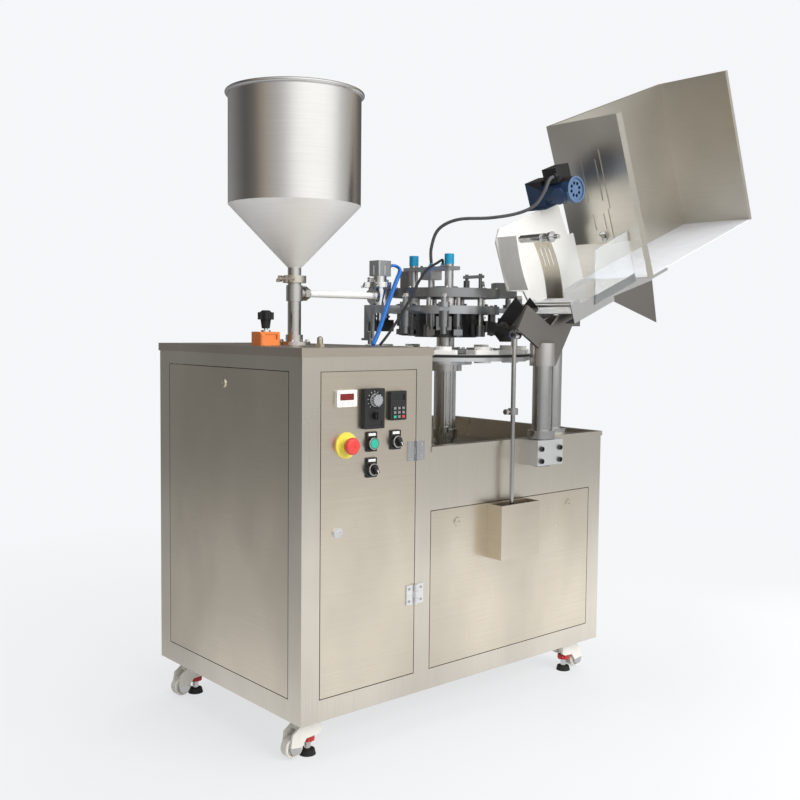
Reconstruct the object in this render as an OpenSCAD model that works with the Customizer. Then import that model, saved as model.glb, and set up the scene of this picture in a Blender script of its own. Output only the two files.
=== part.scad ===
// Tube filling machine: a two-level cabinet on levelling casters carries a product hopper, a rotary dial
// of tube cups under a lifting tooling head, and an inclined magazine that drops tubes into a flip trough.
// Lengths are in millimetres, angles in degrees, +Z is up and the operator stands on the -Y side.

/* [Cabinet] */
// Overall width of the two cabinet sections
cabinet_w = 1048; // [980:1:1200]
// Width of the tall control section
tall_w = 386; // [340:1:430]
// Depth of both cabinet sections
cabinet_d = 647; // [600:1:760]
// Height of the tall section, underside to top cover
tall_h = 845; // [820:1:880]
// Height of the low section, underside to rim
low_h = 602; // [560:1:640]
// Visible border of the casing around its panels
border = 50; // [44:1:60]
// Thickness of the casing's folded walls
wall = 22; // [20:1:26]
// Depth of the panel rebates and of the panels' folded edges
rebate = 18; // [14:1:19]
// Width of the stop that a panel closes on
stop_w = 8; // [6:1:12]
// Gap around the door and the panels
panel_gap = 2; // [1:0.5:4]
// Thickness of folded sheet parts
sheet = 2; // [1.5:0.5:3]
// Thickness of the cover's and the rim's outer lip
lip_t = 3; // [2:0.5:5]
// Height of the top cover's lip
cover_lip = 20; // [14:1:26]
// Height of the low section's rim lip
rim_lip = 13; // [8:1:20]
// Height of the plain front above the lower panels
fascia_h = 157; // [130:1:180]
// Depth of the tray below the rim
tray_depth = 60; // [45:1:70]
// Thickness of the machine deck in the tray
deck_t = 12; // [8:1:16]
// Diameter of the panel lock heads
lock_d = 24; // [18:1:30]

/* [Casters] */
// Height of the cabinet's underside above the floor
foot_h = 98; // [92:1:110]
// Distance of a caster's swivel axis from the cabinet's corner
caster_inset = 66; // [66:1:80]
// Diameter of a caster wheel
wheel_d = 48; // [40:1:50]
// Width of a caster wheel
wheel_w = 24; // [20:1:28]
// Distance of the wheel axle behind the swivel axis
trail = 44; // [43:1:50]
// Gap under the wheel while the machine stands on its pads
wheel_lift = 4; // [2:0.5:8]

/* [Door] */
// Opening clearance between hinge pin and knuckle, on the radius
hinge_play = 0.05; // [0.02:0.01:0.1]
// Height of each door hinge
hinge_h = 48; // [40:1:60]
// Width of one hinge leaf
leaf_w = 27; // [22:1:34]
// Drop of the upper hinge below the door's top edge
hinge_drop = 194; // [150:1:260]
// Distance between the two door hinges
hinge_pitch = 350; // [300:1:400]
// Spacing of the three columns of controls
control_pitch = 73; // [66:1:80]
// Shift of the control columns from the door's middle, towards the hinges
control_shift = 2; // [-4:1:6]
// Drop of the door lock below the door's top edge
lock_drop = 364; // [330:1:400]
// Distance of the door lock from the door's free edge
lock_inset = 46; // [40:1:60]
// Drop of the instrument row below the door's top edge
unit_drop = 82; // [70:1:95]
// Drop of the upper switch row below the door's top edge
switch_drop = 167; // [155:1:180]
// Drop of the lower switch below the upper switch row
switch_pitch = 60; // [54:1:70]
// Diameter of a switch's actuator
switch_d = 22; // [18:1:24]
// Clearance between an actuator and its bezel, on the radius
switch_play = 0.2; // [0.1:0.05:0.4]
// Stroke of the push button
button_stroke = 2.5; // [2:0.5:3]
// Stroke of the emergency stop
stop_stroke = 4; // [3:0.5:5]

/* [Hopper] */
// Position of the hopper's axis from the cabinet's left face
hopper_x = 207; // [190:1:215]
// Outside diameter of the hopper
hopper_d = 334; // [300:1:350]
// Height of the hopper's straight wall
hopper_wall_h = 280; // [220:1:320]
// Height of the hopper's cone
hopper_cone_h = 156; // [130:1:180]
// Wall of the hopper and of the product pipes
hopper_t = 2; // [1.5:0.5:3]
// Diameter of the hopper's rolled rim bead
bead_d = 10; // [6:1:14]
// Outside diameter of the product standpipe
pipe_d = 34; // [28:1:40]
// Rise of the feed pipe above the tooling table
feed_rise = 24; // [20:1:28]
// Rise of the hopper's neck above the feed pipe
neck_rise = 64; // [50:1:80]
// Outside diameter of the feed pipe to the filling valve
feed_d = 18; // [14:1:22]

/* [Dial] */
// Position of the dial's axis from the cabinet's left face
dial_x = 688; // [680:1:700]
// Position of the dial's axis from the cabinet's front face
dial_y = 272; // [266:1:290]
// Diameter of the dial plate
dial_d = 472; // [466:1:484]
// Thickness of the dial plate
dial_t = 18; // [14:1:20]
// Height of the dial plate's underside above the cabinet's underside
dial_z = 805; // [795:1:808]
// Radius of the circle that the tube cups stand on
pitch_r = 205; // [200:1:207]
// Number of tube cups
cup_count = 12; // [12:12:12]
// Inside diameter of a tube cup
cup_bore = 36; // [28:1:38]
// Outside diameter of a tube cup
cup_d = 44; // [42:1:46]
// Rise of a cup's rim above the dial plate
cup_rise = 20; // [14:1:22]
// Diameter of the fixed post that the dial turns on
spindle_d = 50; // [44:1:56]
// Running clearance of the dial, the head and the levers, on the radius
running_play = 0.05; // [0.02:0.01:0.1]
// Diameter of the column under the dial
column_d = 62; // [58:1:70]

/* [Tooling] */
// Diameter of the fixed tooling table and of the lifting head
table_d = 300; // [280:2:310]
// Height of the table's underside above the cabinet's underside
table_z = 930; // [925:1:940]
// Thickness of the tooling table
table_t = 22; // [18:1:26]
// Thickness of the lifting head
head_t = 25; // [20:1:28]
// Gap between table and head while the head rests on its stops
head_gap = 23; // [20:1:26]
// Stroke of the lifting head
head_stroke = 20; // [12:1:22]
// Diameter of the guide posts
post_d = 24; // [20:1:26]
// Half of the distance between the guide posts
post_half = 72; // [66:1:78]
// Distance of the guide posts from the dial's axis, towards the tall section
post_offset = 58; // [54:1:64]
// Height of the guide posts above the table, without their caps
post_h = 113; // [108:1:120]
// Height of a guide post's cap
cap_h = 28; // [20:1:34]
// Angle of the filling station on the dial
fill_angle = 165; // [165:30:165]
// Angle of the station where tubes are dropped in
load_angle = 285; // [285:30:285]
// Angle of the crimping station
crimp_angle = 75; // [75:30:75]
// Gap between the open crimping jaws
jaw_gap = 12; // [11:1:16]

/* [Magazine] */
// Position of the magazine's lower corner from the cabinet's left face
mag_x = 1068; // [1060:1:1080]
// Position of the magazine's middle plane, from the cabinet's front face
mag_y = -16.5; // [-20:0.5:-14]
// Height of the magazine's lower corner above the cabinet's underside
mag_z = 1037; // [1032:1:1042]
// Slope of the magazine's floor
mag_tilt = 21; // [20.5:0.5:21.5]
// Length of the magazine's hood along the slope
hood_l = 560; // [500:1:600]
// Inside width of the hood, for the tube's length
hood_w = 235; // [215:1:250]
// Height of the hood's walls
hood_h = 450; // [400:1:480]
// Height of the gate opening under the hood's lower wall
gate_h = 105; // [90:1:120]
// Width of the flanges on the hood's open edges
flange_w = 22; // [16:1:28]
// Length of the feed bed below the hood
bed_l = 292; // [286:1:296]
// Width of the feed bed between its rails
bed_w = 150; // [144:1:156]
// Height of the white side board above the bed
board_h = 250; // [240:1:260]
// Thickness of the white boards
board_t = 6; // [5:1:8]
// Diameter of the front magazine column
front_col_d = 50; // [44:1:54]
// Diameter of the rear magazine column
rear_col_d = 48; // [42:1:52]

/* [Flip trough] */
// Length of the flip trough
trough_l = 124; // [116:1:126]
// Inside width of the flip trough
trough_w = 54; // [50:1:56]
// Depth of the flip trough's side walls
trough_d = 44; // [40:1:46]
// Thickness of the trough's walls
trough_t = 2; // [1.5:0.5:2.5]
// Tilt of the trough's axis below level, as it rests
trough_tilt = 46; // [44:1:48]
// Height of the trough's pivot above the cabinet's underside
pivot_z = 895; // [893:1:899]
// Diameter of the pivot stubs
pivot_d = 16; // [12:1:18]
// Length of the crank from the pivot to the push rod's pin
crank_r = 91; // [88:1:93]
// Angle of the crank below level, as it rests
crank_drop = 12; // [10:1:14]
// Diameter of the push rod
rod_d = 12; // [10:1:13]
// Length of the push rod below its pin
rod_l = 526; // [515:1:535]
// Position of the push rod from the cabinet's left face
push_x = 649; // [645:1:652]
// Width of the box that guards the push rod's foot
guard_w = 146; // [140:1:160]
// Depth of the guard box
guard_d = 48; // [44:1:56]
// Height of the guard box
guard_h = 140; // [130:1:150]
// Height of the guard box's open top above the cabinet's underside
guard_top = 440; // [434:1:450]

/* [Hidden] */
$fn = 64;

eps = 0.01;
gap = 0.3;

// Width of the low section's front panel opening
bay_w = cabinet_w - tall_w - border;

// Levels above the cabinet's underside
casing_top = tall_h - sheet;
deck_top = low_h - tray_depth;
panel_top = low_h - fascia_h;
dial_top = dial_z + dial_t;
hub_h = 15;
flange_top = dial_z - hub_h;
table_top = table_z + table_t;
head_z = table_top + head_gap;
head_top = head_z + head_t;
post_top = table_top + post_h;
bridge_t = 10;
bridge_z = post_top - bridge_t - 6;
feed_z = table_top + feed_rise;
hopper_z = feed_z + neck_rise;
pipe_h = hopper_z - tall_h;
outlet_h = feed_z - tall_h;
valve_top = feed_z + 54;

// Stations on the dial
function station(i) = fill_angle + i * 360 / cup_count;
fill_at = [dial_x + pitch_r * cos(fill_angle), dial_y + pitch_r * sin(fill_angle)];
load_at = [dial_x + pitch_r * cos(load_angle), dial_y + pitch_r * sin(load_angle)];
hopper_at = [hopper_x, fill_at[1]];
post_x = dial_x - post_offset;
lift_rod_d = 16;
gland_spots = [[post_x, dial_y], [post_x + 12, dial_y - 34]];
indicator_at = [hopper_x - 95, fill_at[1] - 13];
indicator_h = 33;
setting_shaft_d = 10;
knob_z = tall_h + indicator_h + 8;

// Tools
jaw_rail = [20, 14];
jaw_rail_z = table_z - 26;
jaw_size = [20, 50, 62];
jaw_z = table_z - jaw_size[2] - gap;
window_r = 105;
window_d = 40;
window_turn = 20;
drum_d = 168;
drum_h = 64;
tool_foot = table_z - 50;

// Door and its controls
door_x0 = border + panel_gap;
door_x1 = tall_w - border - panel_gap;
door_z0 = border + panel_gap;
door_z1 = casing_top - border - panel_gap;
door_depth = rebate - 2;
hinge_x = door_x1 + panel_gap / 2;
knuckle_r = 5;
knuckle_lift = 0.5;
hinge_y = -knuckle_r - knuckle_lift;
hinge_pin_r = 2.5;
hinge_levels = [door_z1 - hinge_drop, door_z1 - hinge_drop - hinge_pitch];
column_2 = (door_x0 + door_x1) / 2 + control_shift;
column_1 = column_2 - control_pitch;
column_3 = column_2 + control_pitch;
unit_z = door_z1 - unit_drop;
switch_z = door_z1 - switch_drop;
low_switch_z = switch_z - switch_pitch;
door_lock_at = [door_x0 + lock_inset, door_z1 - lock_drop];
lock_shaft_d = 12;
bezel_h = 12;

// Casters
caster_spots = [
    [caster_inset, caster_inset],
    [cabinet_w - caster_inset, caster_inset],
    [caster_inset, cabinet_d - caster_inset],
    [cabinet_w - caster_inset, cabinet_d - caster_inset]];
caster_turn = [0, 180, 0, 180];
caster_plate = [80, 80, 6];
swivel_pin_d = 16;
axle_d = 10;
axle_z = -(foot_h - wheel_lift - wheel_d / 2);

// Magazine: a point at s along the slope and n above the floor, in the machine's X and Z
function mag_point(s, n) = [
    mag_x + s * cos(mag_tilt) - n * sin(mag_tilt),
    mag_z + s * sin(mag_tilt) + n * cos(mag_tilt)];
rail = [30, 42, 3];
board_y = bed_w / 2 + rail[2];
bed_lip = 14;
weld = 1;
motor_s = -117;
motor_r = 34;
motor_n = board_h + motor_r + 4;
cross_rod = [-305, 212];
cross_rod_reach = 34;
hood_overlap = 150;
gate_w = 66;
window_low = [-200, -6];
window_high = [135, 126];

// Magazine columns
front_col = [load_at[0] + 7, -36];
rear_col = [905, 60];
col_block = [100, 69, 66];
block_x0 = front_col[0] - col_block[0] / 2;
clamp_z = 795;
clamp_h = 60;
clamp_r = front_col_d / 2 + 9;
rear_head_z = 900;
rear_head_top = rear_head_z + 30;
head_cap = 8;
clamp_wall = 13;
feed_clamp_wall = feed_rise - (feed_d + 8) / 2 - 1;
pedestal = [90, 80, tray_depth];

// Flip trough
pivot_at = [load_at[1] - 10, pivot_z];
tube_offset = 10;
trough_foot = 43;
arm_t = 8;
arm_gap = 4;
trough_half = trough_w / 2 + trough_t;
arm_left = load_at[0] - trough_half - arm_gap - arm_t;
arm_right = load_at[0] + trough_half + arm_gap;
crank_t = 8;
crank_x = push_x + 9;
pin_d = 10;
pin_at = [pivot_at[0] - crank_r * cos(crank_drop), pivot_at[1] - crank_r * sin(crank_drop)];
guard_x0 = push_x - 60;
bracket_y = -52;

// The origin is at the floor, under the middle of the machine's outline
hood_end = mag_point(hood_l + sheet, -sheet);
x_low = -lip_t;
x_high = hood_end[0];
y_low = mag_y - hood_w / 2 - sheet;
y_high = cabinet_d + lip_t;
mid = [(x_low + x_high) / 2, (y_low + y_high) / 2];

// Routes of the leads and hoses
cable_d = 9;
hose_d = 8;
lead_d = 7;
motor_cable_path = [
    [800, -16, 1294], [782, -18, 1284], [766, -14, 1250], [750, 4, 1216], [722, 40, 1196],
    [682, 100, 1186], [640, 180, 1184], [622, 236, 1160], [624, 266, 1112], [630, 272, 1070]];
hose_a_path = [
    [522, 336, 1060], [545, 332, 1062], [548, 312, 1050], [520, 296, 1016], [470, 272, 952],
    [410, 236, 882], [374, 214, 847]];
hose_b_path = [
    [522, 320, 1060], [540, 316, 1060], [540, 298, 1046], [512, 282, 1012], [462, 258, 948],
    [402, 222, 878], [366, 200, 847]];
sensor_cable_path = [
    [642, 238, 1070], [634, 232, 1078], [606, 222, 1068], [560, 212, 1048], [520, 202, 1012],
    [470, 188, 954], [412, 186, 884], [376, 186, 847]];

// Moves a module from the cabinet's front left underside corner to the machine's own frame
module placed() {
    translate([-mid[0], -mid[1], foot_h]) children();
}

module on_magazine() {
    translate([mag_x, mag_y, mag_z]) rotate([0, -mag_tilt, 0]) children();
}

module box(low, high) {
    translate(low) cube(high - low);
}

module disc(d, z0, z1) {
    translate([0, 0, z0]) cylinder(d = d, h = z1 - z0);
}

module along_x(x0, x1, d) {
    translate([x0, 0, 0]) rotate([0, 90, 0]) cylinder(d = d, h = x1 - x0);
}

module along_y(y0, y1, d) {
    translate([0, y0, 0]) rotate([-90, 0, 0]) cylinder(d = d, h = y1 - y0);
}

module hexagon(across, h) {
    cylinder(d = across / cos(30), h = h, $fn = 6);
}

// Folded tray: a face sheet in the plane z = 0 with its edges turned back to depth d
module pan(w, h, d) {
    difference() {
        cube([w, h, d]);
        translate([sheet, sheet, sheet]) cube([w - 2 * sheet, h - 2 * sheet, d]);
    }
}

// The four upright faces of the cabinet, each with its outside on z = 0 and depth towards +z
module front_face(x) {
    translate([x, 0, 0]) rotate([-90, 0, 0]) mirror([0, 1, 0]) children();
}

module back_face(x) {
    translate([x, cabinet_d, 0]) rotate([90, 0, 0]) children();
}

module left_face(y) {
    translate([0, y, 0]) rotate([90, 0, 90]) children();
}

module right_face(y) {
    translate([cabinet_w, y, 0]) mirror([1, 0, 0]) rotate([90, 0, 90]) children();
}

// Opening in a casing wall, with a rebate outside and a narrower stop behind it
module panel_opening(w, z0, z1) {
    translate([0, z0, -eps]) cube([w, z1 - z0, rebate + eps]);
    translate([stop_w, z0 + stop_w, 0]) cube([w - 2 * stop_w, z1 - z0 - 2 * stop_w, wall + 1]);
}

// Fixed panel that fills such an opening and bears on its stop
module panel(w, z0, z1) {
    translate([panel_gap, z0 + panel_gap, 0]) pan(w - 2 * panel_gap, z1 - z0 - 2 * panel_gap, rebate);
}

// Head of a quarter-turn lock, proud of a panel's face
module lock_head(x, z) {
    translate([x, z, -4]) difference() {
        cylinder(d1 = lock_d - 4, d2 = lock_d, h = 4);
        translate([-6, -1.5, -1]) cube([12, 3, 3]);
    }
}

module caster_plates(spots) {
    for (i = spots) translate(caster_spots[i]) {
        translate([-caster_plate[0] / 2, -caster_plate[1] / 2, -caster_plate[2]]) cube(caster_plate);
        disc(swivel_pin_d, -caster_plate[2] - 16, -caster_plate[2]);
    }
}

// Cabinet

module tall_casing() {
    color("silver") placed() {
        difference() {
            cube([tall_w, cabinet_d, casing_top]);
            box([wall, wall, wall], [tall_w - wall, cabinet_d - wall, casing_top - wall]);
            box([border, border, casing_top - wall - 1],
                [tall_w - border, cabinet_d - border, casing_top + 1]);
            front_face(border) panel_opening(tall_w - 2 * border, border, casing_top - border);
            back_face(border) panel_opening(tall_w - 2 * border, border, casing_top - border);
            left_face(border) panel_opening(cabinet_d - 2 * border, border, casing_top - border);
        }
        caster_plates([0, 2]);
    }
}

module low_casing() {
    ledge = 15;
    color("silver") placed() {
        difference() {
            union() {
                translate([tall_w, 0, 0]) cube([cabinet_w - tall_w, cabinet_d, low_h]);
                box([tall_w, -lip_t, low_h - rim_lip], [cabinet_w + lip_t, cabinet_d + lip_t, low_h]);
            }
            box([tall_w + wall, wall, wall], [cabinet_w - wall, cabinet_d - wall, deck_top - deck_t - ledge]);
            box([tall_w + wall + ledge, wall + ledge, wall],
                [cabinet_w - wall - ledge, cabinet_d - wall - ledge, low_h]);
            box([tall_w + wall, wall, deck_top - deck_t], [cabinet_w - wall, cabinet_d - wall, low_h + 1]);
            front_face(tall_w) panel_opening(bay_w, border, panel_top);
            back_face(tall_w) panel_opening(bay_w, border, panel_top);
            right_face(border) panel_opening(cabinet_d - 2 * border, border, panel_top);
        }
        caster_plates([1, 3]);
    }
}

module top_cover() {
    stud_at = [hopper_x - 100, 80];
    stud_d = 14;
    stud_h = 18;
    color("silver") placed() {
        difference() {
            box([-lip_t, -lip_t, tall_h - cover_lip], [tall_w + lip_t, cabinet_d + lip_t, tall_h]);
            box([0, 0, tall_h - cover_lip - 1], [tall_w, cabinet_d, casing_top]);
        }
        translate([stud_at[0], stud_at[1], tall_h]) {
            hexagon(stud_d + 5, 8);
            cylinder(d = stud_d, h = stud_h);
            translate([0, 0, stud_h]) sphere(d = stud_d);
        }
    }
}

module panels() {
    head_inset = 91;
    head_drop = 37;
    color("lightgray") placed() {
        left_face(border) {
            panel(cabinet_d - 2 * border, border, casing_top - border);
            lock_head(cabinet_d / 2 - border, casing_top - border - head_drop - panel_gap);
        }
        back_face(border) panel(tall_w - 2 * border, border, casing_top - border);
        back_face(tall_w) panel(bay_w, border, panel_top);
        right_face(border) panel(cabinet_d - 2 * border, border, panel_top);
        front_face(tall_w) {
            panel(bay_w, border, panel_top);
            lock_head(head_inset, panel_top - head_drop);
            lock_head(bay_w - head_inset, panel_top - head_drop);
        }
    }
}

module deck() {
    color("dimgray") placed()
        box([tall_w + wall, wall, deck_top - deck_t], [cabinet_w - wall, cabinet_d - wall, deck_top]);
}

// Door and hinges

// Three knuckles share one axis; the outer two belong to the frame and the middle one to the door
module knuckles(levels, d, grow) {
    for (z = levels) translate([hinge_x, hinge_y, z[0] - grow]) cylinder(d = d, h = z[1] - z[0] + 2 * grow);
}

function outer_knuckles(z) = [[z - hinge_h / 2, z - hinge_h / 6], [z + hinge_h / 6, z + hinge_h / 2]];
function middle_knuckle(z) = [[z - hinge_h / 6 + gap, z + hinge_h / 6 - gap]];

module hinge_leaves() {
    color("silver") placed() for (z = hinge_levels) {
        difference() {
            union() {
                box([hinge_x, hinge_y, z - hinge_h / 2], [hinge_x + knuckle_r, 0, z + hinge_h / 2]);
                box([hinge_x, -3, z - hinge_h / 2], [hinge_x + leaf_w, 0, z + hinge_h / 2]);
                knuckles(outer_knuckles(z), 2 * knuckle_r, 0);
            }
            knuckles(middle_knuckle(z), 2 * knuckle_r + 1, gap);
            box([hinge_x - knuckle_r - 1, -knuckle_lift, z - hinge_h], [tall_w - border, eps, z + hinge_h]);
        }
        knuckles([[z - hinge_h / 2, z + hinge_h / 2]], 2 * hinge_pin_r, 0);
    }
}

module door() {
    color("lightgray") placed() {
        difference() {
            translate([door_x0, 0, door_z0]) front_face(0)
                pan(door_x1 - door_x0, door_z1 - door_z0, door_depth);
            translate([door_lock_at[0], 0, door_lock_at[1]]) along_y(-1, sheet + 1, lock_shaft_d + 0.2);
        }
        for (z = hinge_levels) difference() {
            union() {
                box([hinge_x - leaf_w, -3, z - hinge_h / 2], [door_x1, 0, z + hinge_h / 2]);
                box([hinge_x - knuckle_r, hinge_y, z - hinge_h / 6 + gap],
                    [hinge_x, -knuckle_lift, z + hinge_h / 6 - gap]);
                knuckles(middle_knuckle(z), 2 * knuckle_r, 0);
            }
            knuckles(outer_knuckles(z), 2 * knuckle_r + 1, gap);
            knuckles([[z - hinge_h, z + hinge_h]], 2 * (hinge_pin_r + hinge_play), 0);
        }
    }
}

module door_lock() {
    cam = [56, 14, 3];
    color("gainsboro") placed() translate([door_lock_at[0], 0, door_lock_at[1]]) {
        difference() {
            along_y(-5, 0, lock_d);
            box([-7, -6, -1.5], [7, -3, 1.5]);
        }
        along_y(-eps, wall + 5, lock_shaft_d);
        translate([-cam[1] / 2, wall + 2, -cam[0]]) cube([cam[1], cam[2], cam[0]]);
    }
}

// A control's own frame: x to the right and y up on the door's face, z towards the operator
module on_door(x, z) {
    placed() translate([x, 0, z]) rotate([90, 0, 0]) children();
}

module round_block(w, h, d, r) {
    linear_extrude(d) {
        square([w - 2 * r, h], center = true);
        square([w, h - 2 * r], center = true);
        for (x = [-1, 1], y = [-1, 1]) translate([x * (w / 2 - r), y * (h / 2 - r)]) circle(r);
    }
}

module counter() {
    size = [57, 38];
    color("whitesmoke") on_door(column_1 - 4, unit_z + 22) difference() {
        round_block(size[0], size[1], 9, 3);
        translate([-20, -4, 7]) cube([40, 15, 3]);
        for (x = [-14, 0, 14]) translate([x, -12, 7.5]) cylinder(d = 7, h = 3);
    }
}

module speed_unit() {
    size = [59, 93];
    color("black") on_door(column_2, unit_z - 4) {
        difference() {
            round_block(size[0], size[1], 14, 3);
            translate([0, 20, 12]) cylinder(d = 44, h = 3);
            translate([-22, -40, 12.5]) cube([44, 12, 3]);
        }
        translate([0, 20, 12 - eps]) cylinder(d = 10, h = 8);
        translate([0, -16, 14 - eps]) cylinder(d = 15, h = 12);
        translate([-2, -24, 14 - eps]) cube([4, 16, 15]);
    }
}

module speed_knob() {
    color("silver") on_door(column_2, unit_z - 4) translate([0, 20, 12.5]) difference() {
        union() {
            cylinder(d = 30, h = 3);
            for (a = [0 : 30 : 330]) rotate(a) translate([11.5, 0, 0]) cylinder(d = 5, h = 14);
            cylinder(d = 24, h = 14);
        }
        translate([0, 0, -1]) cylinder(d = 10 + 2 * running_play, h = 9);
        translate([-0.75, 4, 13]) cube([1.5, 9, 2]);
    }
}

module keypad() {
    size = [49, 69];
    color("black") on_door(column_3 + 2, unit_z) {
        difference() {
            round_block(size[0], size[1], 11, 3);
            translate([-18, 13, 9]) cube([36, 14, 3]);
        }
        for (x = [-1, 0, 1], y = [0, 1]) translate([x * 13 - 5, -10 - y * 9, 11 - eps]) cube([10, 6, 1.5]);
        for (x = [-1, 1]) translate([x * 10 - 8, -29, 11 - eps]) cube([16, 7, 1.5]);
    }
}

// Legend holder with a round collar that an actuator runs in
module bezel() {
    difference() {
        union() {
            translate([0, 4, 0]) round_block(30, 46, 5, 2);
            cylinder(d = switch_d + 8, h = bezel_h);
        }
        translate([0, 0, -1]) cylinder(d = switch_d, h = bezel_h + 2);
        translate([-11, 17, 4]) cube([22, 7, 2]);
    }
}

module switch_bezels() {
    color("black") {
        on_door(column_2, switch_z) bezel();
        on_door(column_3, switch_z) bezel();
        on_door(column_2, low_switch_z) bezel();
    }
}

module estop_ring() {
    color("gold") on_door(column_1, switch_z) difference() {
        union() {
            cylinder(d = 60, h = 3);
            cylinder(d = 32, h = bezel_h);
        }
        translate([0, 0, -1]) cylinder(d = 24 + 2 * switch_play, h = bezel_h + 2);
    }
}

module estop_head() {
    color("red") on_door(column_1, switch_z) {
        translate([0, 0, stop_stroke + 0.5]) cylinder(d = 24, h = 16);
        translate([0, 0, bezel_h + stop_stroke + 0.5]) rotate_extrude()
            difference() {
                intersection() {
                    square([20, 15]);
                    union() {
                        translate([12, 7]) circle(8);
                        square([12, 15]);
                    }
                }
                translate([-1, 14]) square([5, 2]);
            }
    }
}

module green_button() {
    color("green") on_door(column_2, switch_z) translate([0, 0, button_stroke + 0.3])
        cylinder(d = switch_d - 2 * switch_play, h = bezel_h);
}

// Rotary actuator with a finger bar
module selector() {
    cylinder(d = switch_d - 2 * switch_play, h = bezel_h + 2);
    translate([-4, -switch_d / 2 + 1, bezel_h]) cube([8, switch_d - 2, 12]);
    translate([-1, -switch_d / 2 + 2, bezel_h + 12 - eps]) cube([2, 9, 1]);
}

module selector_a() {
    color("black") on_door(column_3, switch_z) translate([0, 0, gap]) rotate(30) selector();
}

module selector_b() {
    color("black") on_door(column_2, low_switch_z) translate([0, 0, gap]) rotate(30) selector();
}

// Casters

// Frame of one caster: origin on its swivel axis at the cabinet's underside, x towards its pad side
module at_caster(i) {
    placed() translate(caster_spots[i]) rotate(caster_turn[i]) children();
}

module cheek_outline() {
    translate([-trail, axle_z]) circle(15);
    polygon([[-trail - 15, axle_z], [-trail - 10, -36], [-34, -22], [26, -22], [26, -44], [14, -50],
        [-16, -52], [-trail + 15, axle_z]]);
}

module caster(i) {
    inner = wheel_w / 2 + 1;
    outer = inner + 6;
    top = -caster_plate[2] - gap;
    cheek_t = outer - inner;
    turn_z = -65;
    turn_h = 12;
    pad_h = 12;
    color("whitesmoke") at_caster(i) {
        difference() {
            union() {
                disc(58, -22 - eps, top);
                for (y = [-outer, inner]) translate([0, y + cheek_t, 0]) rotate([90, 0, 0])
                    linear_extrude(cheek_t) cheek_outline();
                box([-34, -outer, -32], [26, outer, -22]);
                disc(2 * inner + 4, -44, -22);
            }
            disc(swivel_pin_d + 2 * running_play, -caster_plate[2] - 17, 0);
        }
        translate([-trail, 0, axle_z]) along_y(-outer, outer, axle_d);
        disc(16, pad_h - foot_h - 2, -40);
    }
    color("firebrick") at_caster(i) translate([0, 0, turn_z]) {
        for (a = [0 : 30 : 330]) rotate(a) translate([14.5, 0, 0]) cylinder(d = 5, h = turn_h);
        cylinder(d = 30, h = turn_h);
    }
    color("black") at_caster(i) translate([0, 0, -foot_h]) cylinder(d1 = 40, d2 = 34, h = pad_h);
}

module wheel(i) {
    color("ivory") at_caster(i) translate([-trail, 0, axle_z]) rotate([90, 0, 0]) rotate_extrude()
        difference() {
            translate([axle_d / 2 + running_play, -wheel_w / 2])
                square([(wheel_d - axle_d) / 2 - running_play, wheel_w]);
            for (m = [-1, 1]) translate([wheel_d / 2 - 9, m * wheel_w / 2]) circle(4);
            for (m = [-1, 1]) translate([wheel_d / 2, m * wheel_w / 2]) circle(2);
        }
}

// Hopper and product line

module hopper() {
    r = hopper_d / 2;
    neck = pipe_d / 2;
    rim_z = hopper_cone_h + hopper_wall_h;
    color("silver") placed() translate([hopper_at[0], hopper_at[1], hopper_z]) rotate_extrude() {
        polygon([[neck - hopper_t, 0], [neck, 0], [r, hopper_cone_h], [r, rim_z], [r - hopper_t, rim_z],
            [r - hopper_t, hopper_cone_h + 1], [neck - hopper_t, 2]]);
        translate([r - hopper_t + bead_d / 2, rim_z - bead_d / 2]) difference() {
            circle(d = bead_d);
            circle(d = bead_d - 3);
        }
    }
}

module standpipe() {
    bore = pipe_d - 2 * hopper_t;
    color("silver") placed() translate([hopper_at[0], hopper_at[1], tall_h]) difference() {
        union() {
            cylinder(d = 82, h = 8);
            cylinder(d = pipe_d + 10, h = 26);
            cylinder(d = pipe_d, h = pipe_h);
            disc(pipe_d + 8, outlet_h - 20, outlet_h + 20);
            translate([0, 0, outlet_h]) along_x(0, 44, feed_d + 8);
            translate([26, 0, outlet_h]) rotate([0, 90, 0]) hexagon(feed_d + 14, 12);
        }
        disc(bore, 40, pipe_h + 1);
        translate([0, 0, outlet_h]) along_x(0, 45, feed_d - 4);
        for (a = [45 : 90 : 315]) rotate(a) translate([33, 0, -1]) cylinder(d = 7, h = 10);
    }
}

// Pipe clamp: a two-part ring with a hinged bolt and a wing nut
module clamp_ring(bore, wall, h) {
    difference() {
        union() {
            cylinder(d = bore + 2 * wall, h = h);
            translate([bore / 2 + 4, -9, 0]) cube([20, 18, h]);
        }
        translate([0, 0, -1]) cylinder(d = bore, h = h + 2);
        translate([bore / 2 - 1, -1.5, -1]) cube([30, 3, h + 2]);
    }
    translate([bore / 2 + 17, 0, h / 2]) {
        along_y(-24, 12, 8);
        translate([0, -22, 0]) rotate([90, 0, 0]) cylinder(d = 15, h = 8);
        for (m = [-1, 1]) translate([m * 5 - 7, -32, -3]) rotate([0, m * 25, 0]) cube([14, 10, 6]);
    }
}

module pipe_clamp() {
    color("lightgray") placed() translate([hopper_at[0], hopper_at[1], hopper_z - 38]) rotate(215)
        clamp_ring(pipe_d, clamp_wall, 18);
}

module feed_pipe() {
    color("white") placed() translate([0, fill_at[1], feed_z]) difference() {
        along_x(hopper_at[0] + 44, fill_at[0] - 30, feed_d);
        along_x(hopper_at[0] + 43, fill_at[0] - 29, feed_d - 4);
    }
}

// Setting of the filling volume

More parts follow.
